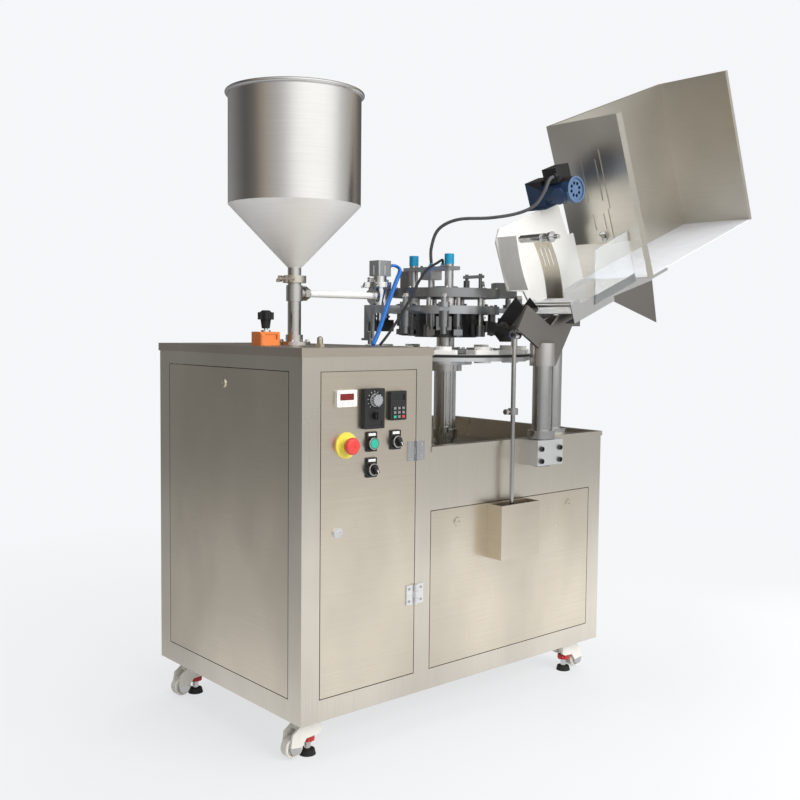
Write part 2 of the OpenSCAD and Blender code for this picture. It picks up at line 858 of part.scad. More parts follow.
module indicator() {
    color("darkorange") placed() translate([indicator_at[0], indicator_at[1], tall_h]) {
        difference() {
            round_block(58, 50, indicator_h, 8);
            translate([-18, -26, 14]) cube([36, 6, 13]);
            translate([0, -25, indicator_h]) rotate([45, 0, 0]) cube([60, 12, 12], center = true);
        }
        cylinder(d = 24, h = indicator_h + 4);
        cylinder(d = setting_shaft_d, h = indicator_h + 26);
    }
}

module star_knob() {
    skirt_h = 22;
    star_h = 18;
    color("black") placed() translate([indicator_at[0], indicator_at[1], knob_z]) difference() {
        union() {
            cylinder(d1 = 20, d2 = 26, h = skirt_h);
            translate([0, 0, skirt_h]) {
                cylinder(d = 34, h = star_h);
                for (a = [0 : 60 : 300]) rotate(a) translate([15, 0, 0]) cylinder(d = 13, h = star_h);
                translate([0, 0, star_h]) cylinder(d1 = 30, d2 = 18, h = 5);
            }
        }
        translate([0, 0, -1]) cylinder(d = setting_shaft_d + 2 * running_play, h = 20);
    }
}

// Dial and its column

module main_column() {
    rod_turn = 225;
    color("silver") placed() translate([dial_x, dial_y, 0]) {
        disc(120, deck_top, deck_top + 16);
        disc(column_d, deck_top, flange_top - 18);
        disc(column_d + 12, deck_top + 40, deck_top + 66);
        disc(94, flange_top - 18, flange_top);
        disc(spindle_d, flange_top, table_z);
        rotate(rod_turn) translate([39, 0, 0]) {
            disc(12, deck_top, flange_top - 18);
            disc(26, deck_top + 58, deck_top + 74);
        }
    }
}

module dial() {
    color("silver") placed() translate([dial_x, dial_y, 0]) difference() {
        union() {
            disc(dial_d, dial_z, dial_top);
            disc(150, flange_top + gap, dial_z);
            disc(130, dial_top, dial_top + 10);
        }
        disc(spindle_d + 2 * running_play, flange_top - 1, dial_top + 11);
        for (i = [0 : cup_count - 1]) rotate(station(i)) translate([pitch_r, 0, 0])
            disc(cup_d, dial_z - 1, dial_top + 1);
        for (i = [0 : 5]) rotate(i * 60) translate([120, 0, 0]) disc(44, dial_z - 1, dial_top + 1);
    }
}

// Every third cup of the dial, from a given start
module cups(start) {
    floor_z = dial_z - 5;
    fit = 0.05;
    holder = [56, 74, 11];
    color("white") placed() translate([dial_x, dial_y, 0])
        for (i = [start : 3 : cup_count - 1]) rotate(station(i)) translate([pitch_r, 0, 0])
            difference() {
                union() {
                    disc(cup_d - 2 * fit, floor_z, dial_top + 1);
                    translate([0, 0, dial_top]) round_block(holder[0], holder[1], holder[2], 6);
                    disc(cup_d, dial_top, dial_top + cup_rise);
                }
                disc(cup_bore, floor_z + 4, dial_top + cup_rise + 1);
                disc(12, floor_z - 1, floor_z + 5);
            }
}

// Tooling

module at_posts() {
    for (m = [-1, 1]) translate([post_x, dial_y + m * post_half, 0]) children();
}

module guide_posts() {
    lift_w = 42;
    lift_z = head_top + head_stroke + 4;
    color("silver") placed() {
        at_posts() {
            disc(post_d, table_top, post_top);
            disc(post_d + 12, table_top, head_z);
        }
        difference() {
            translate([post_x - 22, dial_y - post_half - 20, bridge_z])
                cube([44, 2 * post_half + 40, bridge_t]);
            at_posts() disc(post_d, bridge_z - 1, bridge_z + bridge_t + 1);
        }
        translate([post_x, dial_y, 0]) difference() {
            translate([-lift_w / 2, -lift_w / 2, lift_z]) cube([lift_w, lift_w, bridge_z - lift_z]);
            disc(lift_rod_d + 2 * running_play, lift_z - 1, bridge_z);
        }
        for (gland = gland_spots) translate([gland[0], gland[1], bridge_z + bridge_t]) {
            hexagon(15, 5);
            cylinder(d = 11, h = 10);
        }
    }
    color("deepskyblue") placed() at_posts() disc(post_d + 2, post_top, post_top + cap_h);
}

// Radial arm of the table or the head, from its plate to a station
module arm(angle, r1, w, z0, z1) {
    rotate(angle) box([table_d / 2 - 20, -w / 2, z0], [r1, w / 2, z1]);
}

module tooling_table() {
    color("darkgray") placed() translate([dial_x, dial_y, 0]) {
        difference() {
            union() {
                disc(table_d, table_z, table_top);
                disc(drum_d, table_z - drum_h, table_z);
                disc(drum_d + 6, table_z - drum_h, table_z - drum_h + 8);
                disc(drum_d + 6, table_z - 26, table_z - 16);
            }
            at_windows([0 : 7]) disc(window_d, table_z - 30, table_top + 1);
            disc(spindle_d + 2 * gap, table_z - drum_h - 1, table_z);
        }
        for (a = [210, 240, 330, 0, 30, 60, 90, 120]) rotate(a) translate([table_d / 2 - 16, 0, 0]) {
            disc(22, table_z - 34, table_z + weld);
            disc(10, tool_foot - 10, table_z - 34 + weld);
            translate([-9, -12, tool_foot - 8]) cube([18, 24, 16]);
        }
        difference() {
            arm(fill_angle, pitch_r + 28, 50, table_z, table_top);
            rotate(fill_angle) translate([pitch_r, 0, 0]) disc(30, table_z - 1, table_top + 1);
        }
        for (a = [195, 225, 315, 345]) {
            arm(a, pitch_r + 10, 22, table_z + 6, table_top - 4);
            rotate(a) translate([pitch_r, 0, 0]) station_tool();
        }
        rotate(crimp_angle) {
            box([table_d / 2 - 30, -jaw_rail[0] / 2, jaw_rail_z],
                [pitch_r + 62, jaw_rail[0] / 2, jaw_rail_z + jaw_rail[1]]);
            for (r = [table_d / 2 - 30, pitch_r + 48])
                box([r, -jaw_rail[0] / 2, jaw_rail_z], [r + 14, jaw_rail[0] / 2, table_z + 10]);
            box([table_d / 2 - 30, -jaw_rail[0] / 2, table_z + eps],
                [pitch_r + 62, jaw_rail[0] / 2, table_z + 12]);
        }
        rotate(fill_angle) sensor_bracket();
    }
}

// Spots of the table's round windows
module at_windows(numbers) {
    for (i = numbers) rotate(window_turn + i * 45) translate([window_r, 0, 0]) children();
}

// Hanging station tool: a bushed stem through the table's arm, a body and a plate beside it
module station_tool() {
    disc(16, table_z - 10, table_top + 22);
    disc(30, table_top - 5, table_top + 8);
    disc(26, tool_foot + 14, table_z + 7);
    disc(18, tool_foot - 4, tool_foot + 14);
    translate([-22, -20, tool_foot + 6]) cube([14, 40, 36]);
}

// Bent bracket with a window, hung outside the filling station
module sensor_bracket() {
    size = [6, 56, 96];
    translate([pitch_r + 28 - eps, -size[1] / 2, table_top - size[2]]) difference() {
        cube(size);
        translate([-1, 14, 24]) cube([size[0] + 2, size[1] - 28, 26]);
    }
    translate([pitch_r + 20, -size[1] / 2, table_top - size[2]]) cube([22, size[1], 6]);
    translate([pitch_r + 34, 12, table_top - size[2] - 10]) cylinder(d = 12, h = 30);
}

module tooling_head() {
    fold_angles = [15, 45, 105, 135];
    color("slategray") placed() {
        difference() {
            translate([dial_x, dial_y, 0]) {
                disc(table_d, head_z, head_top);
                disc(66, head_top, head_top + 8);
                for (a = fold_angles) {
                    arm(a, pitch_r + 18, 26, head_z + 4, head_top - 6);
                    rotate(a) translate([pitch_r, 0, 0]) fold_tool();
                }
                head_fittings();
            }
            at_posts() disc(post_d + 2 * running_play, head_z - 1, head_top + 9);
            translate([dial_x, dial_y, 0]) for (a = [0 : 60 : 300]) rotate(a + 10) translate([82, 0, 0])
                disc(30, head_z - 1, head_top + 9);
        }
        translate([post_x, dial_y, 0]) disc(lift_rod_d, head_top, bridge_z - head_stroke - 1);
        translate([dial_x, dial_y, 0]) at_windows([0, 1, 2, 4, 5, 6, 7]) {
            disc(14, tool_foot, head_z + weld);
            disc(26, tool_foot - 12, tool_foot + 20);
        }
    }
}

// What stands on the lifting head: a stop block, an adjusting frame and a valve block
module head_fittings() {
    rotate(330) box([table_d / 2 - 12, -24, head_z + 2], [pitch_r - 5, 24, head_top + 20]);
    rotate(352) {
        for (y = [-32, 32]) translate([96, y, 0]) disc(10, head_top - weld, head_top + 46);
        box([88, -40, head_top + 34], [104, 40, head_top + 42]);
    }
    rotate(112) box([112, -14, head_top - weld], [138, 14, head_top + 52]);
    for (a = [20, 65]) rotate(a) translate([table_d / 2 - 16, 0, 0]) disc(18, head_top - weld, head_top + 30);
}

// Hanging folding tool: a stem with a spring collar and a slotted fork
module fold_tool() {
    fork = [26, 44, 34];
    disc(16, tool_foot + fork[2] - eps, head_top + 22);
    disc(28, head_top - 7, head_top + 12);
    disc(24, table_z - 10, table_z - 4);
    difference() {
        translate([-fork[0] / 2, -fork[1] / 2, tool_foot]) cube(fork);
        translate([-3, -fork[1] / 2 - 1, tool_foot - 1]) cube([6, fork[1] + 2, 20]);
    }
}

// A crimping jaw rides on the radial rail; its face is ribbed
module jaw(r0, face) {
    slot = 0.3;
    rib = 3;
    rotate(crimp_angle) difference() {
        translate([r0, -jaw_size[1] / 2, jaw_z]) cube(jaw_size);
        box([r0 - 1, -jaw_rail[0] / 2 - slot, jaw_rail_z - slot],
            [r0 + jaw_size[0] + 1, jaw_rail[0] / 2 + slot, jaw_rail_z + jaw_rail[1] + slot]);
        for (i = [0 : 3]) translate([r0 + face * jaw_size[0], 0, jaw_z + 5 + i * 2 * rib]) rotate([0, 45, 0])
            cube([rib, jaw_size[1] + 2, rib], center = true);
    }
}

module jaw_inner() {
    color("dimgray") placed() translate([dial_x, dial_y, 0]) jaw(pitch_r - jaw_gap / 2 - jaw_size[0], 1);
}

module jaw_outer() {
    color("dimgray") placed() translate([dial_x, dial_y, 0]) jaw(pitch_r + jaw_gap / 2, 0);
}

// Filling valve on the table's arm: nozzle, body, side inlet and two pipe clamps
module fill_valve() {
    color("silver") placed() translate([fill_at[0], fill_at[1], 0]) {
        difference() {
            union() {
                disc(16, table_z - 20, table_top);
                disc(46, table_top, table_top + 10);
                disc(36, table_top + 10, valve_top);
                disc(46, feed_z - 18, feed_z + 18);
                translate([0, 0, feed_z]) along_x(-30, 0, feed_d + 8);
            }
            disc(9, table_z - 21, feed_z);
            translate([0, 0, feed_z]) along_x(-31, 0, feed_d - 4);
        }
        translate([0, 0, feed_z + 24]) rotate(150) clamp_ring(36, clamp_wall, 14);
        translate([-28, 0, feed_z]) rotate([0, 90, 0]) rotate(200)
            clamp_ring(feed_d + 8, feed_clamp_wall, 10);
    }
}

module air_cylinder() {
    size = 44;
    height = 42;
    color("silver") placed() translate([fill_at[0], fill_at[1], valve_top]) difference() {
        union() {
            round_block(size, size, height, 4);
            for (y = [-5, 11]) translate([0, y, height - 12]) along_x(size / 2 - 1, size / 2 + 10, 12);
        }
        for (m = [-1, 1], a = [0, 90]) rotate(a) translate([m * size / 2, 0, 4])
            cylinder(d = 7, h = height - 16);
        for (x = [-15, 15], y = [-15, 15]) translate([x, y, height - 5]) cylinder(d = 6, h = 6);
    }
}

// Magazine columns

module columns() {
    color("silver") placed() {
        translate([front_col[0], front_col[1], 0]) {
            disc(front_col_d, low_h - col_block[2] - 6, clamp_z + clamp_h - 16);
            disc(front_col_d + 22, low_h + 2, low_h + 24);
        }
        translate([rear_col[0], rear_col[1], 0]) {
            translate([-pedestal[0] / 2, -38, deck_top]) cube(pedestal);
            disc(78, low_h, low_h + 14);
            disc(rear_col_d, low_h, rear_head_top - head_cap);
        }
    }
}

module column_block() {
    bolt = 9;
    color("white") placed() difference() {
        box([block_x0, -col_block[1], low_h - col_block[2]], [block_x0 + col_block[0], 0, low_h]);
        box([block_x0 - 1, -lip_t - gap, low_h - rim_lip - gap], [block_x0 + col_block[0] + 1, 1, low_h + 1]);
        translate([front_col[0], front_col[1], 0]) disc(front_col_d, low_h - col_block[2] - 1, low_h + 1);
        for (m = [-1, 1], z = [12, col_block[2] - 22])
            translate([front_col[0] + m * 36, 0, low_h - col_block[2] + z])
                along_y(-col_block[1] - 1, 1, bolt);
    }
}

// Magazine

// Angle rail along the bed: an upright flange outside, lower under the hood, and a foot turned inwards
module rail_section(side) {
    foot_n = bed_lip - rail[1];
    mirror([0, side > 0 ? 0 : 1, 0]) {
        box([-bed_l, bed_w / 2, foot_n], [hood_overlap, board_y, -sheet]);
        box([-bed_l, bed_w / 2, foot_n], [-4, board_y, bed_lip]);
        box([-bed_l, board_y - rail[0], foot_n], [hood_overlap, board_y, foot_n + rail[2]]);
        box([-bed_l, bed_w / 2, foot_n], [-bed_l + 40, board_y, 2 * bed_lip]);
    }
}

module mag_bed() {
    low_edge = mag_point(-bed_l + 8, -weld);
    high_edge = mag_point(-bed_l + 100, -weld);
    rear_web = [mag_point(-205, -weld), mag_point(-150, -weld)];
    plate_c = [708, 888];
    color("darkgray") placed() {
        on_magazine() {
            box([-bed_l, -bed_w / 2 - weld, -sheet], [-sheet - gap, bed_w / 2 + weld, 0]);
            rail_section(-1);
            rail_section(1);
            translate([0, weld - board_y, 0]) rotate([90, 0, 0]) linear_extrude(sheet + weld)
                polygon([[-115, -14], [66, -14], [66, -30], [48, -150], [-115, -30]]);
            for (s = [-bed_l + 8, -bed_l + 30]) translate([s, 0, 20]) along_y(-bed_w / 2 - 6, board_y, 9);
        }
        difference() {
            union() {
                translate([front_col[0], front_col[1], 0]) disc(2 * clamp_r, clamp_z, clamp_z + clamp_h);
                translate([0, bracket_y + arm_t, 0]) rotate([90, 0, 0]) linear_extrude(arm_t)
                    polygon([[front_col[0], clamp_z], [front_col[0] + clamp_r, clamp_z],
                        high_edge, low_edge, [front_col[0] - clamp_r + 4, clamp_z + clamp_h]]);
                translate([plate_c[0], bracket_y + arm_t, plate_c[1]]) rotate([0, 30, 0])
                    box([-67, -arm_t, -36], [67, 0, 36]);
            }
            translate([front_col[0], front_col[1], 0]) disc(front_col_d, clamp_z - 1, clamp_z + clamp_h - 16);
        }
        for (x = [arm_left, arm_right]) pivot_arm(x);
        difference() {
            union() {
                box([rear_col[0] - 32, -6, rear_head_z],
                    [rear_col[0] + 32, rear_col[1] + 34, rear_head_top]);
                translate([0, 16, 0]) rotate([90, 0, 0]) linear_extrude(10)
                    polygon([[rear_col[0] - 30, rear_head_z + 10], [rear_col[0] + 30, rear_head_z + 10],
                        rear_web[1], rear_web[0]]);
            }
            translate([rear_col[0], rear_col[1], 0])
                disc(rear_col_d, rear_head_z - 1, rear_head_top - head_cap);
        }
    }
}

// Bearing arm of the flip trough, from the front plate back to the pivot
module pivot_arm(x) {
    eye = pivot_d + 14;
    translate([x, 0, 0]) difference() {
        union() {
            box([0, bracket_y + arm_t - 1, pivot_z - 16], [arm_t, pivot_at[0], pivot_z + 4]);
            translate([0, pivot_at[0], pivot_z]) along_x(0, arm_t, eye);
        }
        translate([0, pivot_at[0], pivot_z]) along_x(-1, arm_t + 1, pivot_d + 2 * running_play);
    }
}

module hood() {
    half = hood_w / 2;
    color("tan") placed() on_magazine() {
        box([0, -half, -sheet], [hood_l, half, 0]);
        box([0, half, -sheet], [hood_l, half + sheet, hood_h]);
        box([-sheet, -half, gate_h], [0, half + sheet, hood_h]);
        box([-sheet, -half - sheet, -sheet], [flange_w, -half, hood_h]);
        box([hood_l, -half - sheet, -sheet], [hood_l + sheet, half + sheet, hood_h]);
        box([hood_l - flange_w / 2, -half - sheet, -sheet], [hood_l, -half, hood_h]);
        box([0, half - 12, hood_h - sheet], [hood_l, half, hood_h]);
    }
}

// Height-adjustable gate plate on the lower wall, with two slots for its screws
module gate() {
    color("tan") placed() on_magazine() translate([-sheet - gap, 0, gate_h]) {
        difference() {
            box([-sheet, -gate_w / 2, -2], [0, gate_w / 2, 96]);
            for (y = [-18, 18]) box([-sheet - 1, y - 3, 40], [1, y + 3, 84]);
        }
        translate([0, 0, 20]) {
            along_x(-14, -sheet, 8);
            along_x(-24, -12, 18);
        }
    }
}

module mag_window() {
    y = -bed_w / 2 - rail[2];
    color([0.8, 0.9, 1, 0.4]) placed() on_magazine() translate([0, y, 0]) rotate([90, 0, 0]) linear_extrude(4)
        polygon([[window_low[0], -8], [window_low[1], -8], [window_low[1], window_high[0]],
            [window_low[0] + 50, window_high[1]]]);
}

// White boards: the rear side board and the curved end wall of the drop channel
module chute_boards() {
    end_r = 420;
    inner_end = -bed_l - 53;
    sweep_n = 84;
    color("white") placed() on_magazine() {
        translate([0, board_y + board_t, 0]) rotate([90, 0, 0]) linear_extrude(board_t) difference() {
            polygon([[inner_end, sweep_n], [inner_end, board_h - 30], [inner_end + 24, board_h],
                [-72, board_h], [-60, 150], [-34, 150], [-34, -26], [-bed_l + 24, -26], [-bed_l + 24, 0],
                [-bed_l + 6, sweep_n - 22]]);
            translate(cross_rod) circle(d = 12);
        }
        translate([0, board_y, 0]) rotate([90, 0, 0]) linear_extrude(bed_w) intersection() {
            translate([inner_end + end_r, 150]) difference() {
                circle(end_r, $fn = 128);
                circle(end_r - board_t, $fn = 128);
            }
            translate([inner_end - 1, sweep_n]) square([60, board_h - sweep_n - 20]);
        }
    }
}

// Curved guide strip that stops the tubes, hung from the cross rod by its boss
module guide_band() {
    band_w = 56;
    band_y = -42;
    band_r = 330;
    band_s = -262;
    color("gray") placed() on_magazine() {
        translate([0, band_y + band_w, 0]) rotate([90, 0, 0]) linear_extrude(band_w) intersection() {
            translate([band_s - band_r, 110]) difference() {
                circle(band_r, $fn = 128);
                circle(band_r - 3, $fn = 128);
            }
            translate([band_s - 40, 36]) square([60, 180]);
        }
        translate([cross_rod[0], 0, cross_rod[1]]) {
            difference() {
                along_y(band_y - 4, band_y + band_w + 12, 34);
                along_y(band_y - 5, band_y + band_w + 13, 12 + 2 * running_play);
            }
            along_y(-bed_w / 2 - 26, board_y + board_t + 8, 12);
            along_y(board_y + board_t, board_y + board_t + 12, 26);
            box([12, band_y, -14], [cross_rod_reach, band_y + band_w, -2]);
        }
    }
}

// Worm gear motor across the top of the rear board
module gear_motor() {
    box_w = 60;
    gear_y0 = board_y - 20;
    gear_y1 = board_y + 36;
    color("midnightblue") placed() on_magazine() translate([motor_s, 0, motor_n]) {
        box([-box_w / 2, gear_y0, -motor_r], [box_w / 2, gear_y1, motor_r + 4]);
        box([-box_w / 2 - 6, gear_y0 - 4, -motor_r - 4], [box_w / 2 + 6, gear_y1 + 4, -motor_r]);
        translate([0, 0, -6]) along_x(-box_w / 2 - 10, box_w / 2 + 10, 44);
        along_y(-24, gear_y0, 2 * motor_r - 4);
        for (a = [0 : 20 : 340]) rotate([0, a, 0])
            translate([motor_r - 4, -10, -1.25]) cube([4, gear_y0 - 6, 2.5]);
        difference() {
            along_y(-34, -8, 2 * motor_r + 2);
            along_y(-35, -30, 2 * motor_r - 8);
            for (a = [0 : 45 : 315]) rotate([0, a, 0]) translate([motor_r / 2, 0, 0]) along_y(-31, -7, 9);
        }
        box([-28, -2, motor_r - 6], [28, 46, motor_r + 34]);
        translate([0, 0, motor_r + 14]) along_x(-40, -27, 16);
    }
}

// Flip trough and its drive

// Trough drawn upright about its pivot, then laid back to its resting tilt
module trough() {
    base_n = tube_offset - trough_d / 2;
    top_z = trough_l - trough_foot;
    color("dimgray") placed() translate([load_at[0], pivot_at[0], pivot_at[1]]) {
        rotate([90 - trough_tilt, 0, 0]) {
            difference() {
                box([-trough_half, base_n, -trough_foot], [trough_half, base_n + trough_d, top_z]);
                box([-trough_w / 2, base_n + trough_t, -trough_foot - 1],
                    [trough_w / 2, base_n + trough_d + 1, top_z + 1]);
            }
        }
        along_x(crank_x - load_at[0], -trough_w / 2 - eps, pivot_d);
        along_x(trough_w / 2 + eps, trough_half + arm_gap + arm_t + 4, pivot_d);
        translate([crank_x - load_at[0], 0, 0]) rotate([crank_drop, 0, 0]) crank();
    }
}

module crank() {
    rotate([90, 0, 90]) linear_extrude(crank_t) {
        circle(d = pivot_d + 14);
        translate([-crank_r, 0]) circle(d = pin_d + 12);
        translate([-crank_r, -9]) square([crank_r, 18]);
    }
    translate([0, -crank_r, 0]) along_x(-18, eps, pin_d);
}

module push_rod() {
    eye_d = 26;
    eye_t = 12;
    collar_drop = 190;
    color("silver") placed() translate([push_x, pin_at[0], pin_at[1]]) {
        difference() {
            union() {
                along_x(-eye_t / 2, eye_t / 2, eye_d);
                disc(rod_d + 4, -34, -8);
                disc(rod_d, -rod_l, -8);
            }
            along_x(-eye_t, eye_t, pin_d + 2 * running_play);
        }
        disc(26, -collar_drop - 16, -collar_drop);
        translate([0, 0, -collar_drop - 8]) along_x(-26, 0, 6);
        translate([0, 0, -collar_drop - 8]) along_x(-30, -22, 14);
        disc(18, -rod_l - 10, -rod_l + 8);
    }
}

module guard_box() {
    color("silver") placed() translate([guard_x0, -guard_d, guard_top - guard_h]) difference() {
        cube([guard_w, guard_d, guard_h]);
        translate([sheet, sheet, sheet]) cube([guard_w - 2 * sheet, guard_d - 2 * sheet, guard_h]);
    }
}

// Leads and hoses: a round tube swept along its route, with a ring at each step of a smooth curve

function unit(v) = v / norm(v);
function smooth(a, b, c, d, t) = 0.5 * (2 * b + (c - a) * t + (2 * a - 5 * b + 4 * c - d) * t * t
    + (3 * b - a - 3 * c + d) * t * t * t);
function at(path, i) = path[max(0, min(len(path) - 1, i))];
function curve(path, steps) = concat(
    [for (i = [0 : len(path) - 2], k = [0 : steps - 1])
        smooth(at(path, i - 1), at(path, i), at(path, i + 1), at(path, i + 2), k / steps)],
    [path[len(path) - 1]]);
function tangent(pts, i) = unit(at(pts, i + 1) - at(pts, i - 1));

module tube(path, d, steps = 4, sides = 8) {
    start = unit([-0.55, -0.35, 0]);
    pts = curve(path, steps);
    rings = len(pts);
    points = [for (i = [0 : rings - 1])
        let (t = tangent(pts, i), s = unit(start - (start * t) * t), w = cross(t, s))
        for (k = [0 : sides - 1])
            pts[i] + d / 2 * (cos(k * 360 / sides) * s + sin(k * 360 / sides) * w)];
    walls = [for (i = [0 : rings - 2], k = [0 : sides - 1]) let (j = (k + 1) % sides)
        [i * sides + k, (i + 1) * sides + k, (i + 1) * sides + j, i * sides + j]];
    caps = [[for (k = [0 : sides - 1]) k], [for (k = [0 : sides - 1]) (rings - 1) * sides + sides - 1 - k]];
    polyhedron(points, concat(walls, caps));
}

module motor_cable() {
    color("dimgray") placed() tube(motor_cable_path, cable_d);
}

module hose_a() {
    color("royalblue") placed() tube(hose_a_path, hose_d);
}

module hose_b() {
    color("royalblue") placed() tube(hose_b_path, hose_d);
}

module sensor_cable() {
    color("gray") placed() tube(sensor_cable_path, lead_d);
}

tall_casing();
low_casing();
top_cover();
panels();
deck();
hinge_leaves();
door();
door_lock();
counter();
speed_unit();
speed_knob();
keypad();
switch_bezels();
estop_ring();
estop_head();
green_button();
selector_a();
selector_b();
for (i = [0 : 3]) caster(i);
for (i = [0 : 3]) wheel(i);
hopper();
standpipe();
pipe_clamp();
feed_pipe();
indicator();
star_knob();
main_column();
dial();
for (i = [0 : 2]) cups(i);
guide_posts();
tooling_table();
tooling_head();
fill_valve();
air_cylinder();
jaw_inner();
jaw_outer();
columns();
column_block();
mag_bed();
hood();
gate();
mag_window();
chute_boards();
guide_band();
gear_motor();
guard_box();
trough();
push_rod();
motor_cable();
hose_a();
hose_b();
sensor_cable();
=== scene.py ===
"""Looks of the tube filling machine: camera, light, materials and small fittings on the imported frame."""
import math

import bpy
from mathutils import Matrix, Vector


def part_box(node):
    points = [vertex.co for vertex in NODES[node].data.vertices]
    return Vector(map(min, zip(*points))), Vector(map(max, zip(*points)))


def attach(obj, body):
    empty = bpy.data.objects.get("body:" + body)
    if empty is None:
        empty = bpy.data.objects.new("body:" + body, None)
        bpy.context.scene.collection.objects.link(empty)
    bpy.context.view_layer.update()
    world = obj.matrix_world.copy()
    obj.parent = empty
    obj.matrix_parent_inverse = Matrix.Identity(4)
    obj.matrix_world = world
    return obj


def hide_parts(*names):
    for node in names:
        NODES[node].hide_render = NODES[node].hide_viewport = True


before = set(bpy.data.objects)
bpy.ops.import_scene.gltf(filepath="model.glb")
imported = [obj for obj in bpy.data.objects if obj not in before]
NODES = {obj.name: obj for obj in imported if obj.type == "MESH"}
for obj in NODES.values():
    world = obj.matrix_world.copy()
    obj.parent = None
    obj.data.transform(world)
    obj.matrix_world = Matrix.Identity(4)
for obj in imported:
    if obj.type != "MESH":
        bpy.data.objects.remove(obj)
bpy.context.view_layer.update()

# Cabinet frame: millimetres from the tall section's front left underside corner, as the drawings give them
CASING_TOP = 843
casing_low, casing_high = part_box("tall_casing")
CORNER = Vector((casing_low.x, casing_low.y, casing_high.z - CASING_TOP / 1000))

# Magazine frame: s along its slope, y across it and n off its floor
MAGAZINE_ORIGIN = (1068, -16.5, 1037)
MAGAZINE_TILT = 21

DIAL_AXIS = (688, 272)
PITCH_RADIUS = 205


def at(x, y, z):
    """A point of the cabinet frame, in metres in the row frame."""
    return CORNER + Vector((x, y, z)) / 1000


def on_dial(angle, radius, z):
    """A point over the dial, by its angle and its distance from the dial's axis."""
    turn = math.radians(angle)
    return at(DIAL_AXIS[0] + radius * math.cos(turn), DIAL_AXIS[1] + radius * math.sin(turn), z)


MAGAZINE = Matrix.Translation(at(*MAGAZINE_ORIGIN)) @ Matrix.Rotation(math.radians(-MAGAZINE_TILT), 4, "Y")
TO_MAGAZINE = MAGAZINE.inverted()


def on_magazine(s, y, n):
    """A point of the magazine frame, in metres in the row frame."""
    return MAGAZINE @ (Vector((s, y, n)) / 1000)


# Camera

IMAGE_SIZE = 800
FOCAL_PIXELS = 1009.5
PRINCIPAL_POINT = (398.4, 392.0)
CAMERA_AT = (-1280.6, -1794.2, 891.5)
CAMERA_YAW = math.radians(40.979)
CAMERA_PITCH = math.radians(3.651)
CAMERA_ROLL = math.radians(0.573)


def add_camera():
    data = bpy.data.cameras.new("camera")
    camera = bpy.data.objects.new("camera", data)
    bpy.context.scene.collection.objects.link(camera)
    forward = Vector((
        math.sin(CAMERA_YAW) * math.cos(CAMERA_PITCH),
        math.cos(CAMERA_YAW) * math.cos(CAMERA_PITCH),
        -math.sin(CAMERA_PITCH)))
    level = Vector((math.cos(CAMERA_YAW), -math.sin(CAMERA_YAW), 0))
    raised = level.cross(forward)
    right = level * math.cos(CAMERA_ROLL) + raised * math.sin(CAMERA_ROLL)
    up = raised * math.cos(CAMERA_ROLL) - level * math.sin(CAMERA_ROLL)
    turn = Matrix((right, up, -forward)).transposed()
    camera.matrix_world = Matrix.Translation(at(*CAMERA_AT)) @ turn.to_4x4()
    data.sensor_fit = "HORIZONTAL"
    data.lens = data.sensor_width * FOCAL_PIXELS / IMAGE_SIZE
    data.shift_x = (IMAGE_SIZE / 2 - PRINCIPAL_POINT[0]) / IMAGE_SIZE
    data.shift_y = (PRINCIPAL_POINT[1] - IMAGE_SIZE / 2) / IMAGE_SIZE
    data.clip_end = 100
    bpy.context.scene.camera = camera


add_camera()

# Materials


def new_material(name):
    material = bpy.data.materials.new(name)
    material.use_nodes = True
    return material, material.node_tree.nodes, material.node_tree.links


def noise(nodes, links, scale, stretch=(1, 1, 1), detail=4.0):
    """A noise field in object space, stretched along chosen axes."""
    place = nodes.new("ShaderNodeTexCoord")
    mapping = nodes.new("ShaderNodeMapping")
    mapping.inputs["Scale"].default_value = stretch
    field = nodes.new("ShaderNodeTexNoise")
    field.inputs["Scale"].default_value = scale
    field.inputs["Detail"].default_value = detail
    links.new(place.outputs["Object"], mapping.inputs["Vector"])
    links.new(mapping.outputs["Vector"], field.inputs["Vector"])
    return field.outputs["Fac"]


def ramp(nodes, links, fac, low, high, start=0.35, end=0.65):
    """A colour or grey that runs from low to high as the field goes from start to end."""
    node = nodes.new("ShaderNodeValToRGB")
    node.color_ramp.elements[0].position = start
    node.color_ramp.elements[1].position = end
    for element, value in zip(node.color_ramp.elements, (low, high)):
        color = value if isinstance(value, tuple) else (value, value, value)
        element.color = (*color, 1)
    links.new(fac, node.inputs["Fac"])
    return node.outputs["Color"]


def bump(nodes, links, fac, strength, distance):
    node = nodes.new("ShaderNodeBump")
    node.inputs["Strength"].default_value = strength
    node.inputs["Distance"].default_value = distance
    links.new(fac, node.inputs["Height"])
    return node.outputs["Normal"]


def shade(color, factor):
    return tuple(min(1.0, c * factor) for c in color)


def brushed(name, color, rough=0.3, grain=(2, 2, 260), clouds=0.08, spread=0.08, metallic=1.0):
    """Brushed metal: fine streaks across the large axes of grain, and slow clouds from handling."""
    material, nodes, links = new_material(name)
    shader = nodes["Principled BSDF"]
    shader.inputs["Metallic"].default_value = metallic
    streaks = noise(nodes, links, 3.0, grain, 6.0)
    cloud = noise(nodes, links, 3.2, (1, 1, 0.6), 3.0)
    tone = ramp(nodes, links, cloud, shade(color, 1 - clouds), shade(color, 1 + clouds))
    streak_tone = ramp(nodes, links, streaks, 0.95, 1.0)
    mix = nodes.new("ShaderNodeMix")
    mix.data_type = "RGBA"
    mix.blend_type = "MULTIPLY"
    mix.inputs["Factor"].default_value = 1.0
    links.new(tone, mix.inputs["A"])
    links.new(streak_tone, mix.inputs["B"])
    links.new(mix.outputs["Result"], shader.inputs["Base Color"])
    links.new(ramp(nodes, links, cloud, rough + spread, rough - spread * 0.6), shader.inputs["Roughness"])
    links.new(bump(nodes, links, streaks, 0.04, 0.0003), shader.inputs["Normal"])
    return material


